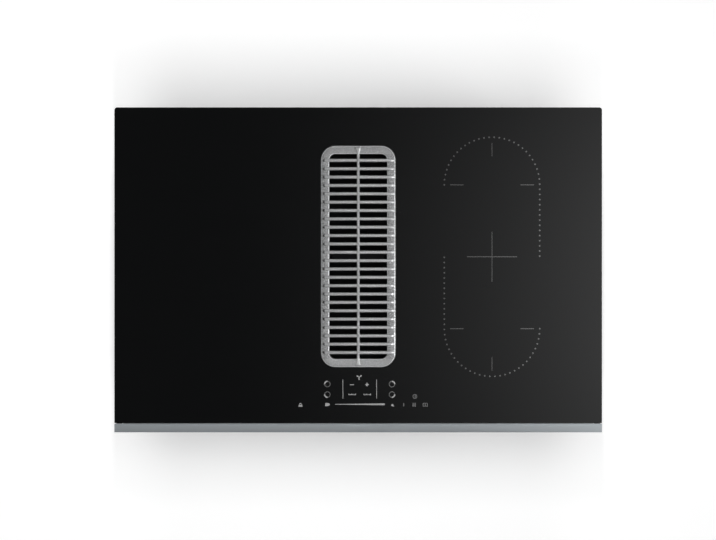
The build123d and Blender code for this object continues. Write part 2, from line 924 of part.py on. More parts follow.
def make_suction_box():
    """Upper moulding of the suction box: the neck through the tray and the screw flange."""
    neck = rounded_tube(neck_width, neck_length, neck_corner, box_wall, tray_under, neck_top, 0, vent_y)
    flange = rounded_block(
        box_width + 2 * box_flange, box_length + 2 * box_flange, box_corner + box_flange,
        box_flange_under, tray_under, 0, vent_y,
    )
    bore = rounded_block(
        neck_width - 2 * box_wall, neck_length - 2 * box_wall, neck_corner - box_wall,
        box_flange_under - 1, tray_under + 1, 0, vent_y,
    )
    return neck + (flange - bore)


def make_suction_tub():
    """Lower moulding of the suction box: a deep tub with a port to the fan and a rib round the tray."""
    tub = rounded_block(box_width, box_length, box_corner, base_level, box_flange_under, 0, vent_y)
    tub = fillet(tub.faces().sort_by(Axis.Z)[0].edges(), box_foot_round)
    hollow = rounded_block(
        box_width - 2 * box_wall, box_length - 2 * box_wall, box_corner - box_wall,
        box_inside, box_flange_under + 1, 0, vent_y,
    )
    hollow = chamfer(hollow.faces().sort_by(Axis.Z)[0].edges(), box_foot_round - box_wall)
    fence_width = skirt_width - 2 * drip_clearance + 2 * well_clearance + 2 * collar_wall
    fence_length = skirt_length - 2 * drip_clearance + 2 * well_clearance + 2 * collar_wall
    fence = rounded_tube(
        fence_width, fence_length, skirt_corner + collar_wall, collar_wall,
        box_inside - box_floor / 2, box_inside + drip_fence, 0, vent_y,
    )
    port = block(
        box_width / 2 - 2 * box_wall, box_width / 2 + 1,
        port_y - port_length / 2, port_y + port_length / 2, port_upper - port_height, port_upper,
    )
    return tub - hollow - port + fence


def port_frame(grow, x0, x1):
    """A rectangular frame round the port, standing across X."""
    outer = block(
        x0, x1, port_y - port_length / 2 - grow, port_y + port_length / 2 + grow,
        port_upper - port_height - grow, port_upper + grow,
    )
    hole = block(
        x0 - 1, x1 + 1, port_y - port_length / 2, port_y + port_length / 2,
        port_upper - port_height, port_upper,
    )
    return outer - hole


def make_gasket():
    """Foam gasket round the port between suction box and air channel."""
    return port_frame(gasket_width, box_width / 2, channel_left)


def channel_outline(grow):
    """Plan of the air channel: straight from the port, round over the fan inlet."""
    radius = channel_radius + grow
    straight = Pos((channel_left + fan_x) / 2, fan_y) * Rectangle(fan_x - channel_left, 2 * radius)
    return straight + Pos(fan_x, fan_y) * Circle(radius)


def make_channel():
    """Air channel from the port to the fan inlet, open below over the fan lid."""
    outer = extrude(Pos(0, 0, lid_top) * channel_outline(0), channel_top - lid_top)
    outer = chamfer(outer.faces().sort_by(Axis.Z)[-1].edges().sort_by(Axis.X)[1:], channel_wall)
    inner = extrude(Pos(0, 0, lid_top - 1) * channel_outline(-channel_wall), channel_top - channel_wall - lid_top + 1)
    shell = outer - inner
    end_wall = block(
        channel_left, channel_left + channel_wall, fan_y - channel_radius, fan_y + channel_radius,
        lid_top, channel_top,
    )
    shell += end_wall
    shell -= block(
        channel_left - 1, channel_left + channel_wall + 1,
        port_y - port_length / 2, port_y + port_length / 2, port_upper - port_height, port_upper,
    )
    return shell


def scroll_radius(angle):
    """Radius of the scroll wall, which widens steadily from the tongue to the throat."""
    share = (angle - tongue_angle) / (360 - tongue_angle)
    return scroll_start_radius + (scroll_end_radius - scroll_start_radius) * share


def scroll_outline():
    """Plan of the air space: spiral, straight right side, wide exit and slanting left side."""
    arcs = 6
    angles = [tongue_angle + (360 - tongue_angle) * i / (2 * arcs) for i in range(2 * arcs + 1)]
    points = [polar(scroll_radius(a), a, fan_x, fan_y) for a in angles]
    tongue = points[0]
    spiral = Curve() + [
        ThreePointArc(points[2 * i], points[2 * i + 1], points[2 * i + 2]) for i in range(arcs)
    ]
    walls = Polyline(
        points[-1],
        (exit_right, diffuser_end),
        (exit_left, diffuser_end),
        (exit_left, diffuser_end - diffuser_straight),
        (tongue[0] - throat_lean, tongue[1] + throat_length),
        tongue,
    )
    face = make_face(spiral + walls)
    corner = face.vertices().sort_by_distance(Vector(*tongue))[0]
    return fillet(corner, tongue_round)


def make_scroll():
    """Fan housing: flat base, spiral wall and widening exit, open at the top and at the rear."""
    air = scroll_outline()
    skin = offset(air, scroll_wall, kind=Kind.ARC)
    case = extrude(Pos(0, 0, base_level) * skin, lid_under - base_level)
    case -= extrude(Pos(0, 0, scroll_floor) * air, lid_under - scroll_floor + 1)
    case -= block(
        exit_left, exit_right, diffuser_end - 1, diffuser_end + 2 * scroll_wall, scroll_floor, lid_under + 1
    )
    for i in range(3):
        x, y = polar(bush_circle_radius, 90 + 120 * i, fan_x, fan_y)
        case -= post(x, y, screw_radius + body_gap, base_level - 1, scroll_floor + 1)
        case -= post(x, y, screw_head + body_gap, base_level - 1, base_level + screw_head_height)
    return case


def make_lid():
    """Fan lid with a rolled inlet that dips into the impeller."""
    skin = offset(scroll_outline(), scroll_wall, kind=Kind.ARC)
    plate = extrude(Pos(0, 0, lid_under) * (skin + channel_outline(0)), lid_thickness)
    rim = inlet_radius + inlet_curl_radius
    plate -= post(fan_x, fan_y, rim, lid_under - 1, lid_top + 1)
    lip_level = lid_top - inlet_curl_radius
    curl = [polar(inlet_curl_radius, angle, rim, lip_level) for angle in (90, 120, 150, 180)]
    inner_curl = [polar(inlet_curl_radius - lid_thickness, angle, rim, lip_level) for angle in (180, 135, 90)]
    profile = make_face(Polyline(*curl, *inner_curl, close=True))
    roll = revolve(Plane.XZ * profile, Axis.Z)
    return plate + Pos(fan_x, fan_y, 0) * roll


def blade_outline():
    """Plan of one backward-curved blade along an arc from the hub to the rim."""
    middle = (blade_inner_radius + wheel_radius) / 2
    spine = ThreePointArc(
        polar(blade_inner_radius, 0),
        polar(middle, -blade_bulge * blade_sweep),
        polar(wheel_radius - blade_thickness, -blade_sweep),
    )
    return trace(spine, blade_thickness)


def make_impeller():
    """Impeller: back plate with a hub cup over the motor, curved blades and a conical shroud."""
    cup_radius = motor_can_radius + air_gap + impeller_plate
    plate = post(0, 0, wheel_radius, impeller_under, blade_under)
    cup = post(0, 0, cup_radius, impeller_under, can_top + impeller_plate)
    cup = chamfer(cup.faces().sort_by(Axis.Z)[-1].edges(), impeller_plate)
    wheel = plate + cup
    wheel -= post(0, 0, motor_can_radius + air_gap, impeller_under - 1, can_top)
    shroud_line = Polyline(
        (wheel_eye_radius, blade_top),
        (wheel_radius, blade_top - shroud_fall),
        (wheel_radius, blade_top - shroud_fall - impeller_plate),
        (wheel_eye_radius, blade_top - impeller_plate),
        close=True,
    )
    shroud = revolve(Plane.XZ * make_face(shroud_line), Axis.Z)
    outside = Polyline(
        (wheel_eye_radius, blade_top - impeller_plate / 2),
        (wheel_radius + blade_thickness, blade_top - shroud_fall - 2 * impeller_plate),
        (wheel_radius + blade_thickness, blade_top + 1),
        (wheel_eye_radius, blade_top + 1),
        close=True,
    )
    blade = extrude(Pos(0, 0, blade_under - impeller_plate / 2) * blade_outline(), blade_height)
    blade -= revolve(Plane.XZ * make_face(outside), Axis.Z)
    blades = [Rot(0, 0, 360 / blade_count * i) * blade for i in range(blade_count)]
    return Pos(fan_x, fan_y, 0) * (wheel + blades + shroud)


def make_motor_can():
    """Outer rotor of the fan motor, a steel cup fixed under the hub."""
    can = post(fan_x, fan_y, motor_can_radius, can_under, can_top)
    return can - post(fan_x, fan_y, motor_can_radius - motor_can_wall, can_under - 1, can_top - motor_can_wall)


def make_shaft():
    """Motor shaft, fixed in the can and running in the bearings."""
    return post(fan_x, fan_y, shaft_radius, motor_plate_top + body_gap, can_top - motor_can_wall)


def make_bearings():
    """Two ball bearings in the stator tube."""
    upper = can_top - motor_can_wall - 2 * air_gap - bearing_height
    lower = motor_plate_top + air_gap
    rings = []
    for level in (lower, upper):
        ring = post(fan_x, fan_y, bearing_radius, level, level + bearing_height)
        rings.append(ring - post(fan_x, fan_y, shaft_radius + shaft_clearance, level - 1, level + bearing_height + 1))
    return rings


def make_stator():
    """Motor stator: mounting plate, bearing tube and the wound core."""
    tube_top = can_top - motor_can_wall - air_gap
    core_radius = motor_can_radius - motor_can_wall - air_gap
    plate = post(fan_x, fan_y, bush_circle_radius + bush_radius, motor_plate_under, motor_plate_top)
    tube = post(fan_x, fan_y, bearing_radius + motor_can_wall, motor_plate_top, tube_top)
    core = post(fan_x, fan_y, core_radius, can_under + 2 * air_gap, tube_top - bearing_height)
    stator = plate + tube + core
    stator -= post(fan_x, fan_y, bearing_radius, motor_plate_top, tube_top + 1)
    for i in range(3):
        x, y = polar(bush_circle_radius, 90 + 120 * i, fan_x, fan_y)
        stator -= post(x, y, screw_radius + body_gap, motor_plate_under - 1, motor_plate_top + 1)
    return stator


def make_bushes():
    """Rubber bushes under the motor plate."""
    bushes = []
    for i in range(3):
        x, y = polar(bush_circle_radius, 90 + 120 * i, fan_x, fan_y)
        bush = post(x, y, bush_radius, scroll_floor, motor_plate_under)
        bushes.append(bush - post(x, y, screw_radius + body_gap, scroll_floor - 1, motor_plate_under + 1))
    return bushes


def make_motor_screws():
    """Screws from below through base, bush and motor plate, their heads sunk in the base."""
    screws = []
    head = RegularPolygon(screw_head, 6)
    for i in range(3):
        x, y = polar(bush_circle_radius, 90 + 120 * i, fan_x, fan_y)
        head_top = base_level + screw_head_height
        shank = post(x, y, screw_radius, head_top, motor_plate_top)
        screws.append(shank + extrude(Pos(x, y, base_level + body_gap) * head, screw_head_height - body_gap))
    return screws


def make_duct():
    """Flat duct connection at the rear, with its screw flange on the fan housing."""
    flange = block(
        exit_left - scroll_wall, exit_right + scroll_wall,
        diffuser_end + scroll_wall, diffuser_end + scroll_wall + duct_flange, base_level, lid_top,
    )
    rear = diffuser_end + scroll_wall + duct_length
    sleeve = block(
        duct_x - duct_width / 2, duct_x + duct_width / 2, diffuser_end + scroll_wall, rear,
        duct_z - duct_height / 2, duct_z + duct_height / 2,
    )
    sleeve = fillet(sleeve.edges().filter_by(Axis.Y), 2 * duct_wall)
    bore = block(
        duct_x - duct_inner_width / 2, duct_x + duct_inner_width / 2, diffuser_end, rear + 1,
        duct_z - duct_inner_height / 2, duct_z + duct_inner_height / 2,
    )
    bore = fillet(bore.edges().filter_by(Axis.Y), duct_wall)
    return flange + sleeve - bore


def hanger_spots():
    """Places of the fan hangers, round the air channel and at the rear of the lid."""
    right = (channel_radius + scroll_end_radius) / 2
    front = (channel_radius + scroll_radius(270)) / 2
    return [
        polar(right, 0, fan_x, fan_y),
        polar(front, 270, fan_x, fan_y),
        (exit_left + hanger_left_inset, diffuser_end - hanger_rear_inset),
        (exit_right - hanger_right_inset, diffuser_end - hanger_rear_inset),
    ]


def make_hangers():
    """Threaded hangers that hold the fan housing under the tray."""
    return [
        extrude(Pos(x, y, lid_top) * RegularPolygon(hanger_radius, 6), tray_under - lid_top)
        for x, y in hanger_spots()
    ]


def make_driver_box():
    """Small case for the fan's own electronics, on the lid behind the air channel."""
    y = (fan_y + channel_radius + diffuser_end) / 2
    case = rounded_block(
        driver_width, driver_depth, 2 * driver_bevel, lid_top, lid_top + driver_height, duct_x, y
    )
    return chamfer(case.faces().sort_by(Axis.Z)[-1].edges(), driver_bevel)


def make_terminal_box():
    """Box for the mains terminals, open below for its lid, bored at the rear for the gland."""
    case = rounded_block(
        terminal_width, terminal_depth, terminal_corner, tray_under - terminal_height, tray_under,
        terminal_x, terminal_y,
    )
    case -= rounded_block(
        terminal_width - 2 * terminal_wall, terminal_depth - 2 * terminal_wall, terminal_corner - terminal_wall,
        tray_under - terminal_height - 1, tray_under - terminal_wall, terminal_x, terminal_y,
    )
    bore = Pos(terminal_x, terminal_y + terminal_depth / 2, tray_under - terminal_height / 2)
    case -= bore * Rot(90, 0, 0) * Cylinder(gland_bore_radius + terminal_wall, 4 * terminal_wall)
    return case


def make_terminal_lid():
    """Snap-on lid under the terminal box."""
    top = tray_under - terminal_height
    return rounded_block(
        terminal_width, terminal_depth, terminal_corner, top - terminal_wall, top, terminal_x, terminal_y
    )


def make_terminal_block():
    """Five-way terminal block."""
    top = tray_under - terminal_wall
    bottom = top - terminal_block_height
    half = terminal_ways * terminal_pitch / 2
    rear = terminal_y - terminal_depth / 8
    front = rear - terminal_block_depth
    body = block(terminal_x - half, terminal_x + half, front, rear, bottom, top)
    hole = terminal_pitch / 4
    for i in range(terminal_ways):
        x = terminal_x - half + (i + 0.5) * terminal_pitch
        y = (front + rear) / 2
        body -= block(x - hole, x + hole, y - hole, y + hole, bottom - 1, bottom + terminal_block_height / 2)
    return body


def make_gland():
    """Cable inlet bush through the rear wall of the terminal box."""
    y = terminal_y + terminal_depth / 2
    z = tray_under - terminal_height / 2
    bush = Pos(terminal_x, y - terminal_wall + gland_length / 2, z) * Rot(90, 0, 0) * Cylinder(
        gland_bore_radius + terminal_wall, gland_length
    )
    collar = Pos(terminal_x, y + terminal_wall, z) * Rot(90, 0, 0) * Cylinder(
        gland_bore_radius + 3 * terminal_wall, 2 * terminal_wall
    )
    bore = Pos(terminal_x, y, z) * Rot(90, 0, 0) * Cylinder(gland_bore_radius, 3 * gland_length)
    return bush + collar - bore


def clamp_pivots():
    """Clamp name, pivot place and the way the clamp points when stowed."""
    return {
        "front_left": (-clamp_x, clamp_front_y, 1),
        "front_right": (clamp_x, clamp_front_y, 1),
        "rear_left": (-clamp_x, clamp_rear_y, -1),
        "rear_right": (clamp_x, clamp_rear_y, -1),
    }


def make_clamp(x, y, way):
    """Swing clamp, stowed along the tray side: a steel arm and the bolt that presses the worktop."""
    top = tray_under - body_gap
    bottom = top - clamp_thickness
    arm = extrude(
        Pos(x, y + way * clamp_length / 2, bottom) * SlotCenterToCenter(clamp_length, clamp_width, rotation=90),
        clamp_thickness,
    )
    tip = y + way * clamp_length
    arm -= post(x, y, pivot_radius + shaft_clearance, bottom - 1, top + 1)
    arm -= post(x, tip, clamp_bolt_radius, bottom - 1, top + 1)
    bolt = post(x, tip, clamp_bolt_radius, bottom - clamp_bolt_length, top)
    wing = extrude(
        Pos(x, tip, bottom - clamp_bolt_length) * RegularPolygon(3 * clamp_bolt_radius, 6), 2 * clamp_bolt_radius
    )
    return [arm, bolt + wing]


def make_pivot_screws():
    """Shoulder screws that the clamps turn on."""
    screws = []
    under = tray_under - 2 * body_gap - clamp_thickness
    for x, y, _ in clamp_pivots().values():
        shank = post(x, y, pivot_radius, under, tray_under)
        head = extrude(Pos(x, y, under - pivot_radius) * RegularPolygon(2 * pivot_radius, 6), pivot_radius)
        screws.append(shank + head)
    return screws


def make_flange_screws():
    """Screws through the flange of the suction box, heads below."""
    x = box_width / 2 + box_flange / 2
    y = box_length / 2 + box_flange / 2
    rows = [vent_y + (i - 1.5) * flange_screw_pitch for i in range(4)]
    spots = [(-x, row) for row in rows]
    spots += [(x, rows[0]), (x, rows[-1]), (0, vent_y - y), (0, vent_y + y)]
    head = RegularPolygon(screw_head, 6)
    level = box_flange_under - screw_head_height
    return [extrude(Pos(sx, sy, level) * head, screw_head_height) for sx, sy in spots]


save("glass_plate", make_glass())
save("front_strip", make_strip())
save("worktop_seal", make_seal())
save("vent_grille", make_grille())
save("grille_pads", group(make_grille_pads()))
save("vent_collar", make_collar())
save("grease_filter_basket", make_filter_basket())
save("grease_filter_floor", make_filter_floor())
save("grease_filter_mesh", make_filter_mesh())
save("filter_handle", make_filter_handle())
save("drip_tray", make_drip_tray())
save("bottom_tray", make_tray())
for name, zone in zones.items():
    save("coil_winding_" + name, make_winding(zone))
    save("coil_carrier_" + name, make_carrier(zone))
save("mica_sheets", group(make_mica()))
save("ferrite_bars", group(make_ferrites()))
save("temperature_sensors", group(make_sensors()))
save("coil_plates", group([make_coil_plate(x) for x in sides.values()]))
save("power_boards", group([make_board(x) for x in sides.values()]))
save("heat_sinks", group([make_sink(x) for x in sides.values()]))
save("blower_cases", group([make_blower_case(x) for x in sides.values()]))
for side, side_x in sides.items():
    save("blower_rotor_" + side, make_blower_rotor(side_x))
save("panel_frame", make_panel_frame())
save("touch_board", make_panel_board())
save("touch_springs", group(make_touch_springs()))
save("suction_box", make_suction_box())
save("suction_tub", make_suction_tub())
save("port_gasket", make_gasket())
save("air_channel", make_channel())
save("fan_lid", make_lid())
save("fan_housing", make_scroll())
save("impeller", make_impeller())
save("motor_can", make_motor_can())
save("motor_shaft", make_shaft())
save("motor_bearings", group(make_bearings()))
save("motor_stator", make_stator())
save("motor_bushes", group(make_bushes()))
save("motor_screws", group(make_motor_screws()))
save("duct_connector", make_duct())
save("fan_hangers", group(make_hangers()))
save("fan_driver_box", make_driver_box())
save("terminal_box", make_terminal_box())
save("terminal_lid", make_terminal_lid())
save("terminal_block", make_terminal_block())
save("cable_gland", make_gland())
for name, (x, y, way) in clamp_pivots().items():
    save("clamp_" + name, group(make_clamp(x, y, way)))
save("clamp_pivot_screws", group(make_pivot_screws()))
save("flange_screws", group(make_flange_screws()))
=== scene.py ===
"""Looks for a built-in induction cooktop with a downdraft extractor.

Run as a script it builds the whole scene. Registered as an add-on it lists the same steps in
the sidebar of the 3D view. Sizes are in millimetres unless a name says otherwise. +X is right,
+Y is to the rear and +Z is up.
"""

import json
from math import atan2, cos, degrees, hypot, pi, radians, sin

import bmesh
import bpy
from bpy.props import FloatProperty, FloatVectorProperty, IntProperty, PointerProperty
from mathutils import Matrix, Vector


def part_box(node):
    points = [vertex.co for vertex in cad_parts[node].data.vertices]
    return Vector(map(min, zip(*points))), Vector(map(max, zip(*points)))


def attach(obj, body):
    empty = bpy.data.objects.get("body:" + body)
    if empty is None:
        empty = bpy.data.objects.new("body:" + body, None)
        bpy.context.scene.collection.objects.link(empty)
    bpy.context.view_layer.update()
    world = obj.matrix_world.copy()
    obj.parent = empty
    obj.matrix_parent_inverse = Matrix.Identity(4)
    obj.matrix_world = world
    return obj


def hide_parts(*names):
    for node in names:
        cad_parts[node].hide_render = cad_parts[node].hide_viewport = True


bl_info = {
    "name": "Downdraft cooktop",
    "version": (1, 0, 0),
    "blender": (4, 5, 0),
    "location": "3D view > Sidebar > Cooktop",
    "description": "Builds the visible detail, finishes and stage of a downdraft cooktop",
    "category": "Object",
}

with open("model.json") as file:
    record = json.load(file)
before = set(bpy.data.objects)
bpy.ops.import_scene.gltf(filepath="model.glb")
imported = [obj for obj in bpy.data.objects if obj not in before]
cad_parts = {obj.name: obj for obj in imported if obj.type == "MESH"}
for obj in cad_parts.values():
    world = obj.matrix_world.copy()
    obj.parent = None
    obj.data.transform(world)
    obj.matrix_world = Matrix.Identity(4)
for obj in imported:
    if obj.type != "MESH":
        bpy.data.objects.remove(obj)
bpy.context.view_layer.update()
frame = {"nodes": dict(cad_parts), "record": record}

MM = 0.001
# How far print reaches down into the glass.
PRINT_ROOT = 0.01


# ---------------------------------------------------------------- settings


def size(name, description, default, low, high):
    """A size that a user may set."""
    return FloatProperty(
        name=name, description=description + ", in millimetres", default=default, min=low, max=high
    )


def colour(name, description, default):
    """A colour that a user may set."""
    return FloatVectorProperty(
        name=name, description="Colour of " + description, subtype="COLOR", default=default, min=0.0, max=1.0
    )


class CooktopSizes(bpy.types.PropertyGroup):
    """Sizes of the details that are added to the cooktop."""

    print_thickness: size("Print thickness", "How far the print stands on the glass", 0.05, 0.01, 0.2)
    dot_pitch: size("Dot pitch", "Distance between the dots round the flexible zone", 8.13, 3.0, 30.0)
    dot_radius: size("Dot radius", "Radius of one printed dot", 1.35, 0.3, 3.0)
    line_width: size("Line width", "Width of the printed zone marks", 1.2, 0.3, 4.0)
    bar_rounding: size("Bar rounding", "Radius along the top edges of a grille bar", 1.9, 0.2, 2.4)
    bar_count: IntProperty(
        name="Grille bars", description="How many cross bars the grille has", default=24, min=2, max=60
    )


class CooktopColours(bpy.types.PropertyGroup):
    """Colours of the finishes."""

    glass: colour("Glass", "the ceramic glass", (0.0046, 0.0048, 0.0050))
    grille: colour("Grille", "the cast grille", (0.48, 0.485, 0.49))
    strip: colour("Front strip", "the brushed strip along the front", (0.38, 0.41, 0.43))
    bright_print: colour("Bright print", "the bright marks of the control field", (0.30, 0.30, 0.30))
    dim_print: colour("Dim print", "the dim marks of the control field", (0.11, 0.11, 0.11))


# ---------------------------------------------------------------- nodes


class Nodes:
    """A node tree with short ways to add to it."""

    def __init__(self, tree):
        self.tree = tree

    def feed(self, socket, value):
        """Links a socket to value, or sets it where value is plain."""
        if isinstance(value, bpy.types.NodeSocket):
            self.tree.links.new(value, socket)
        else:
            socket.default_value = value

    def node(self, kind, inputs=None, **settings):
        """A new node; inputs maps names or numbers of its inputs to sockets or plain values."""
        made = self.tree.nodes.new(kind)
        for key, value in settings.items():
            setattr(made, key, value)
        for label, value in (inputs or {}).items():
            self.feed(made.inputs[label], value)
        return made

    def maths(self, operation, *values):
        """A math node of a material."""
        return self.node("ShaderNodeMath", dict(enumerate(values)), operation=operation).outputs[0]

    def plus(self, one, two):
        return self.maths("ADD", one, two)

    def times(self, one, two):
        return self.maths("MULTIPLY", one, two)

    def blend(self, one, share, two, other_share):
        """one times its share plus two times its own."""
        return self.maths("MULTIPLY_ADD", one, share, self.times(two, other_share))

    def spread(self, value, low, high, start=0.0, end=1.0, kind="LINEAR"):
        """value brought from start..end to low..high."""
        inputs = {"Value": value, "From Min": start, "From Max": end, "To Min": low, "To Max": high}
        return self.node("ShaderNodeMapRange", inputs, interpolation_type=kind).outputs["Result"]

    def axes(self, vector):
        """The X, Y and Z sockets of a vector."""
        return self.node("ShaderNodeSeparateXYZ", {0: vector}).outputs

    def length(self, x, y):
        """How far x and y lie from nought."""
        return self.maths("SQRT", self.plus(self.times(x, x), self.times(y, y)))


# ---------------------------------------------------------------- finishes


class Finish(Nodes):
    """One procedural material. Its patterns lie on object coordinates, in metres."""

    def __init__(self, name, colour, roughness, metallic=0.0):
        self.material = bpy.data.materials.new(name)
        self.material.use_nodes = True
        super().__init__(self.material.node_tree)
        self.shader = self.tree.nodes["Principled BSDF"]
        self.colour = tuple(colour)
        self.shader.inputs["Base Color"].default_value = (*self.colour, 1.0)
        self.shader.inputs["Roughness"].default_value = roughness
        self.shader.inputs["Metallic"].default_value = metallic
        self.place = self.node("ShaderNodeTexCoord").outputs["Object"]
        self.bump = None

    def mapped(self, scale=(1, 1, 1), location=(0, 0, 0), turn=0.0):
        """Object coordinates moved, turned about Z and stretched."""
        inputs = {"Vector": self.place, "Location": location, "Rotation": (0, 0, turn), "Scale": scale}
        return self.node("ShaderNodeMapping", inputs).outputs["Vector"]

    def noise(self, scale, detail=3.0, vector=None, roughness=0.5):
        inputs = {"Vector": vector or self.place, "Scale": scale, "Detail": detail, "Roughness": roughness}
        return self.node("ShaderNodeTexNoise", inputs).outputs["Fac"]

    def cells(self, scale, output="Distance"):
        return self.node("ShaderNodeTexVoronoi", {"Vector": self.place, "Scale": scale}).outputs[output]

    def waves(self, scale, direction, distortion, vector=None):
        inputs = {"Vector": vector or self.place, "Scale": scale, "Distortion": distortion}
        return self.node("ShaderNodeTexWave", inputs, bands_direction=direction).outputs["Fac"]

    def curve(self, value, start, end, points):
        """Read off a line through points for a value in metres; points, start and end in millimetres."""
        made = self.node("ShaderNodeFloatCurve", {"Value": self.spread(value, 0.0, 1.0, start * MM, end * MM)})
        held_points = made.mapping.curves[0].points
        while len(held_points) < len(points):
            held_points.new(0.5, 0.5)
        for held, (place, height) in zip(held_points, points):
            held.location = ((place - start) / (end - start), height)
            held.handle_type = "VECTOR"
        made.mapping.update()
        return made.outputs["Value"]

    def tint(self, value, first, second):
        """Base colour from first, a colour or a tint, to second as value goes from 0 to 1."""
        if not isinstance(first, bpy.types.NodeSocket):
            first = (*first, 1.0)
        mix = self.node("ShaderNodeMix", {0: value, 6: first, 7: (*second, 1.0)}, data_type="RGBA").outputs[2]
        self.feed(self.shader.inputs["Base Color"], mix)
        return mix

    def shade(self, value, low=0.9, high=1.1):
        """Base colour made darker and lighter by value."""
        first, second = ([min(1.0, c * share) for c in self.colour] for share in (low, high))
        self.tint(value, first, second)

    def rough(self, value, low, high):
        self.feed(self.shader.inputs["Roughness"], self.spread(value, low, high, 0.25, 0.75))

    def relief(self, value, depth, strength=1.0):
        """Raises the surface by value times depth, in metres."""
        inputs = {"Height": value, "Strength": strength, "Distance": depth}
        if self.bump:
            inputs["Normal"] = self.bump
        self.bump = self.node("ShaderNodeBump", inputs).outputs["Normal"]
        self.feed(self.shader.inputs["Normal"], self.bump)


def glass_finish(name):
    """Polished black ceramic glass with wiped-off smears and hairline scratches."""
    made = Finish(name, bpy.context.scene.cooktop_colours.glass, 0.05)
    smears = made.noise(9.0, 5.0, made.mapped((1.0, 3.0, 1.0), turn=0.5), 0.6)
    hairs = made.noise(60.0, 2.0, made.mapped((0.3, 14.0, 1.0), turn=0.7))
    made.rough(made.plus(smears, made.times(hairs, 0.15)), 0.03, 0.075)
    made.shade(smears, 0.94, 1.06)
    made.shader.inputs["IOR"].default_value = 1.5
    return made.material


def cast_finish(name):
    """Bead-blasted cast metal with hammered grain; painted shade in the creases and painted highlights on the
    edges and the bar crests.
    """
    made = Finish(name, bpy.context.scene.cooktop_colours.grille, 0.42, 0.6)
    grain = made.noise(2600.0, 2.0)
    clouds = made.noise(70.0, 4.0)
    hammered = made.noise(400.0, 2.0)
    place = made.axes(made.place)
    level = place["Z"]
    # How bright the metal is painted at a level, in painted highlight and shade: the edge of the frame bright, its
    # flat, the flanks of the bars dark and their crests bright.
    painted_light_by_level = [(5.6, 0.4), (6.3, 0.6), (7.0, 0.8), (7.2, 0.88), (7.4, 0.88), (7.46, 0.46), (7.6, 0.46)]
    painted_light_by_level += [(8.4, 0.335), (8.9, 0.345), (9.5, 0.57), (9.9, 0.71)]
    painted_light = made.curve(level, 5, 10, painted_light_by_level)
    # Painted shade at the left ends of the bars and painted highlights at their right ends, as a light on the
    # right gives them.
    end_shade_and_highlight = [(-56.9, 0.5), (-56.2, 0.0), (-53.6, 0.0), (-52.9, 0.5)]
    end_shade_and_highlight += [(53.5, 0.5), (55.0, 1.0), (58.2, 1.0), (59.5, 0.5)]
    painted_end_light = made.maths("MULTIPLY_ADD", made.curve(place["X"], -60, 60, end_shade_and_highlight), 0.52, -0.26)
    painted_light = made.maths("MULTIPLY_ADD", painted_end_light, made.spread(level, 0.0, 1.0, 7.55 * MM, 7.8 * MM), painted_light)
    # The end bands are smoother than the sides, and the front one is painted brighter: painted light.
    low, high = box_mm("vent_grille")
    along = made.maths("SUBTRACT", place["Y"], (low.y + high.y) / 2 * MM)
    from_middle = made.maths("ABSOLUTE", along)
    painted_light = made.plus(painted_light, made.spread(along, 0.085, 0.0, -165 * MM, -161 * MM))
    smoother = made.spread(from_middle, 1.0, 0.35, 160 * MM, 167 * MM)
    # The rib is painted darker than the bars between its flared ends: painted shade that takes down the side light
    # it catches.
    rib = made.spread(made.maths("ABSOLUTE", place["X"]), 0.19, 0.0, 2.3 * MM, 3.0 * MM)
    rib = made.times(rib, made.spread(from_middle, 1.0, 0.0, 158 * MM, 162 * MM))
    painted_light = made.maths("SUBTRACT", painted_light, rib)
    coarse = made.times(made.spread(level, 1.0, 0.25, 8.5 * MM, 9.9 * MM), smoother)
    speckle = made.times(made.maths("MULTIPLY_ADD", hammered, 1.1, -0.55), coarse)
    made.shade(made.plus(made.maths("MULTIPLY_ADD", clouds, 0.11, -0.055), made.plus(painted_light, speckle)), 0.1, 1.9)
    made.rough(clouds, 0.29, 0.39)
    made.relief(clouds, 0.0003, 0.25)
    made.relief(made.times(hammered, coarse), 0.0005, 0.6)
    made.relief(grain, 0.00005, 0.5)
    return made.material


def strip_finish(name):
    """Brushed stainless steel, the lines along the strip, with painted light: lighter towards its ends and the
    glass.
    """
    made = Finish(name, bpy.context.scene.cooktop_colours.strip, 0.36, 0.5)
    lines = made.noise(1.0, 4.0, made.mapped((9.0, 2600.0, 2600.0)), 0.65)
    drift = made.noise(6.0, 2.0)
    place = made.axes(made.place)
    x = place["X"]
    # Painted light: brighter towards the ends, most at the right end, and towards the rear edge by the glass.
    ends = made.times(made.times(x, x), made.maths("MULTIPLY_ADD", x, 3.7, 2.5))
    rear = made.spread(place["Y"], 0.06, 0.38, -260 * MM, -246 * MM)
    made.shade(made.maths("MULTIPLY_ADD", lines, 0.2, made.plus(ends, rear)), 0.6, 1.6)
    made.rough(made.blend(drift, 0.3, lines, 0.7), 0.30, 0.42)
    made.relief(lines, 0.00004, 0.5)
    return made.material


def rubber_finish(name, colour, pores):
    """Soft matt rubber or foam with open pores of the given scale."""
    made = Finish(name, colour, 0.8)
    dust = made.noise(55.0, 4.0)
    made.shade(dust, 0.85, 1.25)
    made.rough(dust, 0.72, 0.88)
    made.relief(made.cells(pores), 0.00025, 0.6)
    return made.material


def moulded_finish(name, colour, roughness=0.42):
    """Moulded plastic with a fine spark texture, scuffs and faint flow marks."""
    made = Finish(name, colour, roughness)
    flow = made.noise(14.0, 3.0, made.mapped((1.0, 1.0, 0.35)))
    scuffs = made.noise(70.0, 5.0, made.mapped((1.0, 0.25, 1.0), turn=0.4), 0.7)
    made.shade(made.blend(scuffs, 0.6, flow, 0.4), 0.6, 1.5)
    made.rough(scuffs, roughness - 0.10, roughness + 0.10)
    made.relief(flow, 0.0006, 0.12)
    made.relief(made.cells(1500.0), 0.00006, 0.35)
    return made.material


def painted_finish(name, colour):
    """Powder-coated sheet steel: orange peel and a little dust."""
    made = Finish(name, colour, 0.45)
    dust = made.noise(24.0, 5.0)
    made.shade(dust, 0.82, 1.25)
    made.rough(dust, 0.40, 0.56)
    made.relief(made.noise(520.0, 1.0), 0.00012, 0.5)
    return made.material


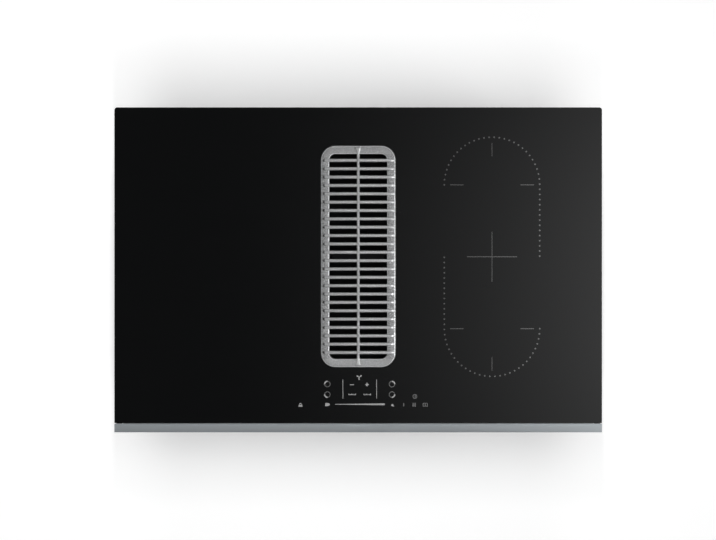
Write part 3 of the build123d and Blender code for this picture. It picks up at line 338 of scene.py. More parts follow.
def zinc_finish(name, colour):
    """Galvanised sheet steel with spangle, rolling lines and dull patches."""
    made = Finish(name, colour, 0.42, 0.75)
    spangle = made.cells(125.0, "Color")
    rolled = made.noise(1.0, 3.0, made.mapped((14.0, 900.0, 900.0)))
    made.shade(made.blend(rolled, 0.35, spangle, 0.65), 0.80, 1.18)
    made.rough(made.blend(spangle, 0.4, made.noise(18.0, 4.0), 0.6), 0.34, 0.54)
    made.relief(spangle, 0.00012, 0.35)
    return made.material


def rolled_finish(name, colour):
    """Plain rolled metal with the lines of the mill and light handling marks."""
    made = Finish(name, colour, 0.34, 0.85)
    rolled = made.noise(1.0, 4.0, made.mapped((900.0, 12.0, 900.0)))
    made.shade(rolled, 0.88, 1.1)
    made.rough(made.noise(30.0, 6.0, None, 0.7), 0.28, 0.46)
    made.relief(rolled, 0.00004, 0.4)
    return made.material


def filter_finish(name, colour):
    """Knitted filter metal: a fine diamond weave, tarnished in patches."""
    made = Finish(name, colour, 0.4, 0.7)
    strands = [made.waves(190.0, "X", 0.4, made.mapped(turn=radians(angle))) for angle in (32, -32)]
    weave = made.maths("MAXIMUM", *strands)
    tarnish = made.noise(35.0, 4.0)
    # Darker between the strands: painted shade in the openings of the weave, and patches of tarnish.
    made.shade(made.times(weave, made.spread(tarnish, 0.5, 1.2)), 0.25, 1.5)
    made.rough(tarnish, 0.3, 0.55)
    made.relief(weave, 0.0008, 0.9)
    return made.material


def mica_finish(name, colour):
    """Pressed mica: flakes that lie flat and darker binder between them."""
    made = Finish(name, colour, 0.35)
    flakes = made.cells(130.0, "Color")
    made.shade(made.blend(made.noise(420.0, 4.0), 0.4, flakes, 0.6), 0.7, 1.2)
    made.rough(flakes, 0.22, 0.45)
    made.relief(flakes, 0.00008, 0.3)
    return made.material


def winding_finish(name, colour, centre, straight):
    """Enamelled stranded wire wound round centre (x, y); straight is the length between its two ends."""
    made = Finish(name, colour, 0.33, 0.8)
    turn_pitch, strand_pitch, strands_round = 3.0 * MM, 1.5 * MM, 90.0
    place = made.axes(made.mapped(location=(-centre[0] * MM, -centre[1] * MM, 0)))
    half = straight / 2 * MM
    held = made.maths("MAXIMUM", made.maths("MINIMUM", place["Y"], half), -half)
    y = made.maths("SUBTRACT", place["Y"], held)
    radius = made.length(place["X"], y)
    turns = made.maths("SINE", made.times(radius, 2 * pi / turn_pitch))
    angle = made.maths("ARCTAN2", y, place["X"])
    lay = made.maths("SINE", made.blend(angle, strands_round, radius, 2 * pi / strand_pitch))
    height = made.maths("MULTIPLY_ADD", lay, 0.18, made.maths("ABSOLUTE", turns))
    burnt = made.noise(40.0, 3.0)
    # The colour follows the relief: painted shade down between the turns and strands, mixed with burnt patches.
    made.shade(made.blend(height, 0.6, burnt, 0.4), 0.45, 1.25)
    made.rough(burnt, 0.27, 0.42)
    made.relief(height, 0.0007, 0.8)
    return made.material


def ferrite_finish(name, colour):
    """Sintered ferrite: matt, dense and speckled."""
    made = Finish(name, colour, 0.6)
    specks = made.cells(900.0)
    made.shade(specks, 0.7, 1.5)
    made.rough(made.noise(60.0, 3.0), 0.5, 0.7)
    made.relief(specks, 0.00008, 0.5)
    return made.material


def ceramic_finish(name, colour):
    """Fired white ceramic with a thin glaze and a few pits."""
    made = Finish(name, colour, 0.3)
    pits = made.cells(260.0)
    made.shade(made.noise(25.0, 3.0), 0.9, 1.06)
    made.rough(pits, 0.2, 0.4)
    made.relief(pits, 0.0001, 0.3)
    return made.material


def board_finish(name, colour):
    """Solder mask over patches of parallel tracks with pads, and dark sleeved parts with bare tops."""
    made = Finish(name, colour, 0.32)
    place = made.axes(made.place)
    z = place["Z"]
    corner = {label: made.maths("SNAP", place[label], across * MM) for label, across in (("X", 7), ("Y", 11))}
    patch = made.node("ShaderNodeCombineXYZ", corner)
    chance = made.node("ShaderNodeTexWhiteNoise", {"Vector": patch.outputs[0]}).outputs["Value"]
    crosswise = made.maths("GREATER_THAN", chance, 0.4)
    # Tracks are 0.44 wide at a pitch of 1.6; a quarter of the patches has none.
    runs = [made.maths("LESS_THAN", made.maths("PINGPONG", place[way], 0.8 * MM), 0.22 * MM) for way in "XY"]
    tracks = made.maths("MULTIPLY_ADD", made.maths("SUBTRACT", *runs), crosswise, runs[1])
    tracks = made.times(tracks, made.maths("LESS_THAN", chance, 0.75))
    copper = made.maths("MAXIMUM", tracks, made.maths("LESS_THAN", made.cells(210.0), 0.16))
    lit = [min(1.0, c * 2.2 + 0.01) for c in colour]
    painted = made.tint(made.times(copper, made.spread(made.noise(20.0, 2.0), 0.4, 1.0)), colour, lit)
    # The parts on the power boards stand between foot and top. The touch board lies above clear.
    foot, top, clear = -48.3 * MM, -26.5 * MM, -25 * MM
    for level, shown in ((foot, (0.02, 0.02, 0.025)), (top, (0.5, 0.5, 0.5))):
        inside = made.times(made.maths("LESS_THAN", z, clear), made.maths("GREATER_THAN", z, level))
        painted = made.tint(inside, painted, shown)
    made.rough(made.noise(80.0, 2.0), 0.25, 0.4)
    made.relief(copper, 0.00005, 0.4)
    return made.material


def laminated_finish(name, colour):
    """A stack of punched steel sheets or a pressed can, with fine level lines."""
    made = Finish(name, colour, 0.38, 0.85)
    lines = made.waves(320.0, "Z", 0.2)
    oil = made.noise(35.0, 4.0)
    made.shade(made.blend(lines, 0.4, oil, 0.6), 0.7, 1.25)
    made.rough(oil, 0.3, 0.5)
    made.relief(lines, 0.00006, 0.4)
    return made.material


def plated_finish(name, colour):
    """Zinc-plated fastener: bright, faintly yellow in places."""
    made = Finish(name, colour, 0.28, 0.95)
    bloom = made.noise(300.0, 3.0)
    made.tint(bloom, [c * 0.8 for c in colour], [c * share for c, share in zip(colour, (1.12, 1.08, 0.92))])
    made.rough(bloom, 0.2, 0.38)
    made.relief(made.noise(1500.0, 2.0), 0.00003, 0.4)
    return made.material


def ink_finish(name, colour, metallic):
    """Screen print burnt into the glass; a metallic ink mirrors what the glass mirrors."""
    made = Finish(name, colour, 0.16, metallic)
    screen = made.noise(700.0, 2.0)
    made.shade(screen, 0.88, 1.1)
    made.rough(screen, 0.12, 0.24)
    return made.material


# The finish of each material slot and what it is made with.
slot_finishes = {
    "black_glass": (glass_finish,),
    "strip_steel": (strip_finish,),
    "cast_grille": (cast_finish,),
    "foam": (rubber_finish, (0.03, 0.03, 0.032), 900.0),
    "silicone": (rubber_finish, (0.05, 0.05, 0.052), 1600.0),
    "black_plastic": (moulded_finish, (0.016, 0.016, 0.017)),
    "grey_plastic": (moulded_finish, (0.20, 0.205, 0.21)),
    # The coated steel and the filter mesh under the grille are near black, darker than their coating and metal:
    # painted shade for the deep well under the grille.
    "black_coated_steel": (painted_finish, (0.0035, 0.0035, 0.0038)),
    "filter_mesh": (filter_finish, (0.022, 0.022, 0.023)),
    "zinc_sheet": (zinc_finish, (0.42, 0.43, 0.44)),
    "mica": (mica_finish, (0.55, 0.50, 0.40)),
    "ferrite": (ferrite_finish, (0.05, 0.05, 0.055)),
    "sensor_ceramic": (ceramic_finish, (0.75, 0.74, 0.70)),
    "sheet_aluminium": (rolled_finish, (0.60, 0.61, 0.62)),
    "circuit_board": (board_finish, (0.03, 0.12, 0.05)),
    "spring_steel": (plated_finish, (0.50, 0.50, 0.50)),
    "motor_steel": (laminated_finish, (0.22, 0.22, 0.23)),
    "screw_steel": (plated_finish, (0.50, 0.50, 0.49)),
}


def finish(slot):
    """The finish of a material slot, made on first use."""
    label = slot + "_finish"
    make, *values = slot_finishes[slot]
    return bpy.data.materials.get(label) or make(label, *values)


def paint(node, material):
    """Puts a material on every slot of a construction node."""
    part = frame["nodes"][node]
    if not part.material_slots:
        part.data.materials.append(material)
    for held in part.material_slots:
        held.material = material


# ---------------------------------------------------------------- meshes


def around(radius, angle, centre=(0.0, 0.0)):
    """The point at a radius and an angle in degrees round centre."""
    a = radians(angle)
    return centre[0] + cos(a) * radius, centre[1] + sin(a) * radius


def sweep(mesh, sections, closed=False):
    """Skins a row of point loops; an open row gets a face at each end. Points in millimetres."""
    rings = [[mesh.verts.new(Vector(p) * MM) for p in section] for section in sections]
    pairs = list(zip(rings, rings[1:]))
    if closed:
        pairs.append((rings[-1], rings[0]))
    for one, two in pairs:
        count = len(one)
        for i in range(count):
            j = (i + 1) % count
            mesh.faces.new((one[i], one[j], two[j], two[i]))
    if not closed:
        mesh.faces.new(rings[0][::-1])
        mesh.faces.new(rings[-1])


def put(name, data):
    """A new object in the scene, at the origin."""
    made = bpy.data.objects.new(name, data)
    bpy.context.scene.collection.objects.link(made)
    return made


def points_object(name, points, edges=()):
    """A mesh of loose points or of a path, in millimetres."""
    data = bpy.data.meshes.new(name)
    data.from_pydata([Vector(p) * MM for p in points], list(edges), [])
    return put(name, data)


def solid(mesh, name):
    """Turns the working mesh into an object with outward normals."""
    bmesh.ops.recalc_face_normals(mesh, faces=mesh.faces)
    data = bpy.data.meshes.new(name)
    mesh.to_mesh(data)
    mesh.free()
    return put(name, data)


def settle(piece, body, material=None, stands_for=()):
    """Gives a finished piece its material and body, and hides the construction nodes that it stands for."""
    if material:
        piece.data.materials.clear()
        piece.data.materials.append(material)
    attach(piece, body)
    if stands_for:
        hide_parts(*stands_for)


def smooth(piece, angle=35.0):
    """Smooth shading with sharp edges beyond an angle."""
    for face in piece.data.polygons:
        face.use_smooth = True
    piece.data.set_sharp_from_angle(angle=radians(angle))


def box_mm(node):
    """Lowest and highest corner of a construction node in millimetres."""
    low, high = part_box(node)
    return low / MM, high / MM


def islands(node):
    """Middle and size of each separate solid of a construction node, in millimetres."""
    mesh = bmesh.new()
    mesh.from_mesh(frame["nodes"][node].data)
    bmesh.ops.remove_doubles(mesh, verts=mesh.verts, dist=1e-6)
    left, found = set(mesh.verts), []
    while left:
        todo, members = [left.pop()], []
        while todo:
            vertex = todo.pop()
            members.append(vertex.co.copy())
            for edge in vertex.link_edges:
                other = edge.other_vert(vertex)
                if other in left:
                    left.remove(other)
                    todo.append(other)
        low, high = (Vector([pick(c[i] for c in members) for i in range(3)]) / MM for pick in (min, max))
        found.append(((low + high) / 2, high - low))
    mesh.free()
    return sorted(found, key=lambda pair: tuple(round(c, 2) for c in pair[0]))


class Print:
    """Flat marks of one ink on the glass. Its places are (x, y) in millimetres."""

    def __init__(self):
        top = box_mm("glass_plate")[1].z
        self.low, self.high = top - PRINT_ROOT, top + bpy.context.scene.cooktop_sizes.print_thickness
        self.mesh = bmesh.new()

    def shape(self, outline):
        sweep(self.mesh, [[(x, y, z) for x, y in outline] for z in (self.low, self.high)])

    def disc(self, centre, radius, steps):
        self.shape([around(radius, 360 * i / steps, centre) for i in range(steps)])

    def line(self, start, end, width):
        dx, dy = end[0] - start[0], end[1] - start[1]
        length = hypot(dx, dy)
        nx, ny = -dy / length * width / 2, dx / length * width / 2
        self.shape([(x + way * nx, y + way * ny) for way, ends in ((-1, (start, end)), (1, (end, start)))
                    for x, y in ends])

    def arc(self, centre, inner, outer, start, end, steps):
        """A curved band between two angles in degrees; a whole turn closes on itself."""
        whole = abs(end - start) >= 360
        corners = ((inner, self.low), (outer, self.low), (outer, self.high), (inner, self.high))
        angles = [start + (end - start) * i / steps for i in range(steps if whole else steps + 1)]
        sweep(self.mesh, [[(*around(r, angle, centre), z) for r, z in corners] for angle in angles], whole)

    def settle(self, name, material):
        settle(solid(self.mesh, name), "hob", material)


# ---------------------------------------------------------------- geometry nodes


class Grower(Nodes):
    """A geometry node group with named inputs that ends in Realize Instances and Set Material."""

    def __init__(self, name, inputs):
        super().__init__(bpy.data.node_groups.new(name, "GeometryNodeTree"))
        sockets = self.tree.interface
        for label, kind in {"Geometry": "Geometry", **inputs, "Material": "Material"}.items():
            sockets.new_socket(label, in_out="INPUT", socket_type="NodeSocket" + kind)
        sockets.new_socket("Geometry", in_out="OUTPUT", socket_type="NodeSocketGeometry")
        self.inputs = self.node("NodeGroupInput").outputs
        self.output = self.node("NodeGroupOutput").inputs[0]

    def on_points(self, points, instance, **more):
        """An instance on every point."""
        inputs = {"Points": points, "Instance": instance, **more}
        return self.node("GeometryNodeInstanceOnPoints", inputs).outputs[0]

    def close(self, geometry):
        """Realizes the geometry, sets the material and links it to the output."""
        real = self.node("GeometryNodeRealizeInstances", {"Geometry": geometry})
        inputs = {"Geometry": real.outputs[0], "Material": self.inputs["Material"]}
        self.feed(self.output, self.node("GeometryNodeSetMaterial", inputs).outputs[0])
        return self

    def run(self, piece, values):
        """Runs the group on a mesh object and keeps the result as its plain mesh."""
        modifier = piece.modifiers.new(self.tree.name, "NODES")
        modifier.node_group = self.tree
        for item in self.tree.interface.items_tree:
            if item.in_out == "INPUT" and item.name in values:
                modifier[item.identifier] = values[item.name]
        graph = bpy.context.evaluated_depsgraph_get()
        data = bpy.data.meshes.new_from_object(
            piece.evaluated_get(graph), preserve_all_data_layers=True, depsgraph=graph
        )
        piece.modifiers.remove(modifier)
        piece.data = data
        data.name = piece.name
        if not data.polygons:
            raise RuntimeError(f"{self.tree.name} made no faces for {piece.name}")


def dots_group():
    """Round dots at an even pitch along a path."""
    grown = Grower("dots_along_path", {"Pitch": "Float", "Radius": "Float", "Thickness": "Float"})
    path = grown.node("GeometryNodeMeshToCurve", {"Mesh": grown.inputs["Geometry"]})
    inputs = {"Curve": path.outputs[0], "Length": grown.inputs["Pitch"]}
    spaced = grown.node("GeometryNodeResampleCurve", inputs, mode="LENGTH")
    inputs = {"Vertices": 12, "Radius": grown.inputs["Radius"], "Depth": grown.inputs["Thickness"]}
    dot = grown.node("GeometryNodeMeshCylinder", inputs)
    return grown.close(grown.on_points(spaced.outputs[0], dot.outputs["Mesh"]))


def grille_group():
    """Cross bars in an even row, joined with the frame that they lie over."""
    inputs = {"Frame": "Object", "Bar Count": "Int", "Bar Pitch": "Float", "First Bar": "Vector"}
    grown = Grower("grille_bars", inputs)
    step = grown.node("ShaderNodeCombineXYZ", {"Y": grown.inputs["Bar Pitch"]}).outputs[0]
    inputs = {"Count": grown.inputs["Bar Count"], "Start Location": grown.inputs["First Bar"], "Offset": step}
    row = grown.node("GeometryNodeMeshLine", inputs, mode="OFFSET")
    bars = grown.on_points(row.outputs[0], grown.inputs["Geometry"])
    frame_part = grown.node("GeometryNodeObjectInfo", {"Object": grown.inputs["Frame"]})
    joined = grown.node("GeometryNodeJoinGeometry")
    for source in (bars, frame_part.outputs["Geometry"]):
        grown.feed(joined.inputs[0], source)
    return grown.close(joined.outputs[0])


def scatter_group():
    """The same small part at every point, its Z along Facing and turned by a seeded random angle."""
    grown = Grower("part_on_points", {"Part": "Object", "Facing": "Vector", "Seed": "Int"})
    inputs = {"Seed": grown.inputs["Seed"], 2: 0.0, 3: 2 * pi}
    turn = grown.node("FunctionNodeRandomValue", inputs, data_type="FLOAT")
    facing = grown.node("FunctionNodeAlignRotationToVector", {"Vector": grown.inputs["Facing"]}, axis="Z")
    spin = grown.node("FunctionNodeAxisAngleToRotation", {"Axis": (0, 0, 1), "Angle": turn.outputs[1]})
    inputs = {"Rotation": facing.outputs[0], "Rotate By": spin.outputs[0]}
    way = grown.node("FunctionNodeRotateRotation", inputs, rotation_space="LOCAL")
    part = grown.node("GeometryNodeObjectInfo", {"Object": grown.inputs["Part"], "As Instance": True})
    points = grown.inputs["Geometry"]
    return grown.close(grown.on_points(points, part.outputs["Geometry"], Rotation=way.outputs[0]))


def thread_group():
    """A screw thread wound up from each point."""
    inputs = {"Radius": "Float", "Turns": "Float", "Length": "Float", "Depth": "Float"}
    grown = Grower("thread_on_points", inputs)
    radius = grown.inputs["Radius"]
    inputs = {"Resolution": 14, "Rotations": grown.inputs["Turns"], "Height": grown.inputs["Length"]}
    inputs.update({"Start Radius": radius, "End Radius": radius})
    helix = grown.node("GeometryNodeCurveSpiral", inputs)
    ridge = grown.node("GeometryNodeCurvePrimitiveCircle", {"Resolution": 4, "Radius": grown.inputs["Depth"]})
    inputs = {"Curve": helix.outputs[0], "Profile Curve": ridge.outputs[0], "Fill Caps": True}
    wound = grown.node("GeometryNodeCurveToMesh", inputs)
    return grown.close(grown.on_points(grown.inputs["Geometry"], wound.outputs[0]))


# ---------------------------------------------------------------- steps


class CooktopStep:
    """What all the steps share."""

    bl_options = {"REGISTER", "UNDO"}

    @property
    def sizes(self):
        return bpy.context.scene.cooktop_sizes

    @property
    def colours(self):
        return bpy.context.scene.cooktop_colours


class COOKTOP_OT_surfaces(CooktopStep, bpy.types.Operator):
    """Gives every construction node the finish of its material slot"""

    bl_idname = "cooktop.surfaces"
    bl_label = "Finish the construction"

    def execute(self, context):
        for part in frame["record"]["subparts"]:
            if part["material_slot"] != "coil_copper":
                paint(part["node"], finish(part["material_slot"]))
        return {"FINISHED"}


class COOKTOP_OT_windings(CooktopStep, bpy.types.Operator):
    """Draws the turns of stranded wire on each coil winding"""

    bl_idname = "cooktop.windings"
    bl_label = "Coil windings"

    copper = (0.45, 0.24, 0.12)

    def execute(self, context):
        for part in frame["record"]["subparts"]:
            if part["material_slot"] != "coil_copper":
                continue
            node = part["node"]
            low, high = box_mm(node)
            middle, across = (low + high) / 2, high - low
            straight = max(0.0, across.y - across.x)
            paint(node, winding_finish(node + "_wire", self.copper, (middle.x, middle.y), straight))
        return {"FINISHED"}


class COOKTOP_OT_grille(CooktopStep, bpy.types.Operator):
    """Builds the cast grille: rounded frame, lengthwise rib and a row of cross bars"""

    bl_idname = "cooktop.grille"
    bl_label = "Cast grille"

    side_band = 13.3
    corner = 23.0
    band_drop = 2.5
    bar_inset = 1.7
    bar_width = 5.0
    bar_height = 8.5
    # From the middle of the first bar to that of the last.
    bar_row = 13.35 * 23
    rib_inset = 1.9
    rib_width = 4.2
    rib_flare = 11.0
    rib_flare_length = 10.0
    rib_rise_length = 3.0
    # Edge of the frame: inward from the edge, below its top.
    edge = ((0.0, 1.7), (0.3, 0.75), (0.9, 0.2), (1.8, 0.0))
    # End of a bar: back from the tip, level under the bar's top, share of the full width.
    bar_end = ((0.0, -2.55, 0.7), (0.8, -2.05, 0.86), (1.6, -1.75, 0.95), (2.7, -1.4, 1.0))
    bar_end += ((3.5, -0.8, 1.0), (4.1, -0.25, 1.0), (5.0, 0.0, 1.0))
    # Places along the end of the rib, back from its tip.
    rib_end = (0.0, 0.5, 1.3, 2.4, 4.0, 6.0, 8.5, 11.5)

    def frame_ring(self, mesh, low, high):
        """The rounded frame, swept round the opening."""
        half_x, half_y = (high.x - low.x) / 2, (high.y - low.y) / 2
        middle_y = (high.y + low.y) / 2
        top, band = high.z - self.band_drop, self.side_band
        profile = [(0.0, low.z)] + [(inward, top - drop) for inward, drop in self.edge]
        profile += [(band - inward, top - drop) for inward, drop in self.edge[::-1]] + [(band, low.z)]
        sections = []
        for quarter, (x_side, y_side) in enumerate(((1, 1), (-1, 1), (-1, -1), (1, -1))):
            centre = x_side * (half_x - self.corner), middle_y + y_side * (half_y - self.corner)
            for i in range(13):
                angle = 90 * quarter + 90 * i / 12
                sections.append([(*around(self.corner - inward, angle, centre), z) for inward, z in profile])
        sweep(mesh, sections, closed=True)

    def bar_section(self, half, top, under, rounding):
        """Loop of (across, up) points of a bar with rounded top edges."""
        radius = max(0.05, min(rounding, half * 0.95, (top - under) * 0.45))
        loop = [(-half, under), (half, under)]
        for start, middle in ((0, half - radius), (90, radius - half)):
            loop += [around(radius, start + 90 * i / 5, (middle, top - radius)) for i in range(6)]
        return loop

    def rib(self, mesh, low, high):
        """The lengthwise rib, which rises from the end bands and narrows from its flared ends."""
        half_length, middle_y = (high.y - low.y) / 2 - self.rib_inset, (low.y + high.y) / 2
        under = high.z - self.bar_height
        sections = []
        for side in (-1, 1):
            for back in self.rib_end[::-side]:
                rise = (1 - (1 - min(1.0, back / self.rib_rise_length)) ** 2) ** 0.5
                flare = max(0.0, 1 - back / self.rib_flare_length) ** 1.6
                half = (self.rib_width + (self.rib_flare - self.rib_width) * flare) / 2
                half *= 0.8 + 0.2 * rise
                level = high.z - self.band_drop * (1 - rise)
                rounding = self.sizes.bar_rounding * (0.65 + 0.35 * flare)
                y = middle_y + side * (half_length - back)
                sections.append([(x, y, z) for x, z in self.bar_section(half, level, under, rounding)])
        sweep(mesh, sections)

    def bar(self, mesh, half_length):
        """One cross bar, its top at nought."""
        sections = []
        for side in (-1, 1):
            for back, level, narrow in self.bar_end[::-side]:
                half = self.bar_width / 2 * narrow
                section = self.bar_section(half, level, -self.bar_height, self.sizes.bar_rounding)
                sections.append([(side * (half_length - back), y, z) for y, z in section])
        sweep(mesh, sections)

    def execute(self, context):
        low, high = box_mm("vent_grille")
        bar, ring = bmesh.new(), bmesh.new()
        self.bar(bar, (high.x - low.x) / 2 - self.bar_inset)
        piece = solid(bar, "grille_casting")
        self.frame_ring(ring, low, high)
        self.rib(ring, low, high)
        helper = solid(ring, "grille_frame")
        count = self.sizes.bar_count
        values = {
            "Frame": helper,
            "Bar Count": count,
            "Bar Pitch": self.bar_row / (count - 1) * MM,
            "First Bar": Vector((0, (low.y + high.y) / 2 - self.bar_row / 2, high.z)) * MM,
            "Material": finish("cast_grille"),
        }
        grille_group().run(piece, values)
        bpy.data.objects.remove(helper)
        smooth(piece)
        settle(piece, "grille", stands_for=["vent_grille"])
        return {"FINISHED"}


class COOKTOP_OT_zone_print(CooktopStep, bpy.types.Operator):
    """Prints the marks of the flexible zone on the right: dotted outline, ticks and centre cross"""

    bl_idname = "cooktop.zone_print"
    bl_label = "Zone print"

    centre = (214.0, 21.0)
    radius = 76.3
    # From the centre to the middle of each round end.
    reach = 115.0
    cross = 40.0
    # A tick runs between these distances from the middle of a round end.
    tick = (45.5, 67.0)
    line_ink = (0.32, 0.32, 0.32)
    dot_ink = (0.36, 0.36, 0.36)
    arc_steps = 48

    def execute(self, context):
        cx, cy = self.centre
        near, far = self.tick
        width = self.sizes.line_width
        marks = Print()
        marks.line((cx - self.cross, cy), (cx + self.cross, cy), width)
        for way in (-1, 1):
            marks.line((cx, cy + way * width / 2), (cx, cy + way * self.cross), width * 0.75)
            end_y = cy + way * self.reach
            for side in (-1, 1):
                marks.line((cx + side * near, end_y), (cx + side * far, end_y), width)
            marks.line((cx, end_y + way * near), (cx, end_y + way * far), width * 0.8)
        marks.settle("zone_lines", ink_finish("zone_ink_finish", self.line_ink, 1.0))

        group = dots_group()
        values = {
            "Pitch": self.sizes.dot_pitch * MM,
            "Radius": self.sizes.dot_radius * MM,
            "Thickness": (self.sizes.print_thickness + PRINT_ROOT) * MM,
            "Material": ink_finish("dot_ink_finish", self.dot_ink, 1.0),
        }
        path = [(self.radius, 1.0)]
        path += [around(self.radius, 180 * i / self.arc_steps, (0, self.reach)) for i in range(self.arc_steps + 1)]
        for way, name in ((1, "zone_dots_rear"), (-1, "zone_dots_front")):
            points = [(cx + way * x, cy + way * y, (marks.low + marks.high) / 2) for x, y in path]
            dotted = points_object(name, points, [(i, i + 1) for i in range(len(points) - 1)])
            group.run(dotted, values)
            settle(dotted, "hob")
        return {"FINISHED"}


class COOKTOP_OT_control_print(CooktopStep, bpy.types.Operator):
    """Prints the control field in front of the grille: zone rings, slider and key marks"""

    bl_idname = "cooktop.control_print"
    bl_label = "Control print"

    # Extractor key: three blades round a hub, each given by radius and angle.
    fan_hub = (1.5, -171.3)
    fan_blade = ((1.1, -30), (3.0, -24), (4.6, -10), (4.8, 12), (3.4, 20), (2.2, 14), (1.1, 30))
    # Zone rings: middle, and the angle at the middle of the quarter that is drawn bright.
    zone_rings = (((-49.3, -182.6), 135), ((-49.3, -199.3), 225), ((54.0, -182.6), 45), ((54.0, -199.3), 315))
    plus_key = (14.2, -183.4)
    slider = ((-37.0, -215.3), (42.5, -216.4), (42.5, -213.4), (-37.0, -214.5))
    power_key = ((-52.6, -217.8), (-52.6, -212.9), (-49.6, -212.9))
    power_key_nose = (-48.0, -215.3)
    lock_body = ((-95.3, -218.7), (-89.3, -218.7), (-89.3, -215.9), (-95.3, -215.9))
    lock_shackle = (-92.3, -215.3)
    # Step marks under the minus and plus keys: middle of each row, and how far its uprights rise.
    step_rows = (-9.5, 14.6)
    step_rises = (2.2, 1.5, 2.2, 1.5, 1.5, 2.2)
    step_pitch = 2.08
    step_level = -200.2
    # Straight marks: start, end and width. Beside the inner keys, the minus key, by the small key.
    bright_lines = (
        ((-24.4, -205.8), (-24.4, -175.4), 0.9),
        ((29.5, -205.8), (29.5, -175.4), 0.9),
        ((-13.2, -183.6), (-6.8, -183.6), 1.3),
        ((55.4, -217.8), (57.4, -217.8), 1.0),
    )
    # The four keys on the right.
    dim_lines = (
        ((72.7, -218.2), (72.7, -213.0), 1.7),
        ((87.9, -218.6), (87.9, -212.6), 2.1),
        ((91.1, -218.6), (91.1, -212.6), 2.1),
        ((103.4, -218.0), (111.0, -218.0), 0.9),
        ((103.4, -213.2), (111.0, -213.2), 0.9),
        ((103.8, -217.5), (103.8, -213.7), 1.5),
        ((107.2, -217.5), (107.2, -213.7), 1.5),
        ((110.6, -217.5), (110.6, -213.7), 1.5),
        ((91.2, -204.2), (91.2, -200.6), 1.9),
    )

    def execute(self, context):
        bright, dim = Print(), Print()
        for marks, lines in ((bright, self.bright_lines), (dim, self.dim_lines)):
            for start, end, width in lines:
                marks.line(start, end, width)
        for turn in (30, 150, 270):
            bright.shape([around(radius, turn + angle, self.fan_hub) for radius, angle in self.fan_blade])
        bright.disc(self.fan_hub, 0.8, 14)
        for middle, angle in self.zone_rings:
            bright.arc(middle, 3.3, 5.4, angle - 48, angle + 48, 14)
            dim.arc(middle, 3.9, 5.0, angle + 50, angle + 310, 30)
        bright.disc(self.plus_key, 2.0, 18)
        for angle in (0, 90, 180, 270):
            bright.line(around(2.2, angle, self.plus_key), around(3.1, angle, self.plus_key), 0.8)
        for x in self.step_rows:
            for i, rise in enumerate(self.step_rises):
                place = x - 2.5 * self.step_pitch + self.step_pitch * i
                bright.line((place, self.step_level), (place, self.step_level + rise), 1.5)
        bright.shape(self.slider)
        nose_x, nose_y = self.power_key_nose
        nose = [(nose_x + x, nose_y + y * 2.2 / 2.7) for x, y in (around(2.7, a) for a in range(70, -71, -20))]
        bright.shape([*self.power_key, *nose, (self.power_key[-1][0], self.power_key[0][1])])
        bright.shape(self.lock_body)
        bright.arc(self.lock_shackle, 1.0, 2.3, 0, 180, 12)
        bright.disc((54.6, -216.3), 1.9, 16)
        dim.arc((90.7, -202.4), 2.4, 3.7, 0, 360, 26)
        bright.settle("control_marks_bright", ink_finish("bright_ink_finish", self.colours.bright_print, 0.0))
        dim.settle("control_marks_dim", ink_finish("dim_ink_finish", self.colours.dim_print, 0.0))
        return {"FINISHED"}


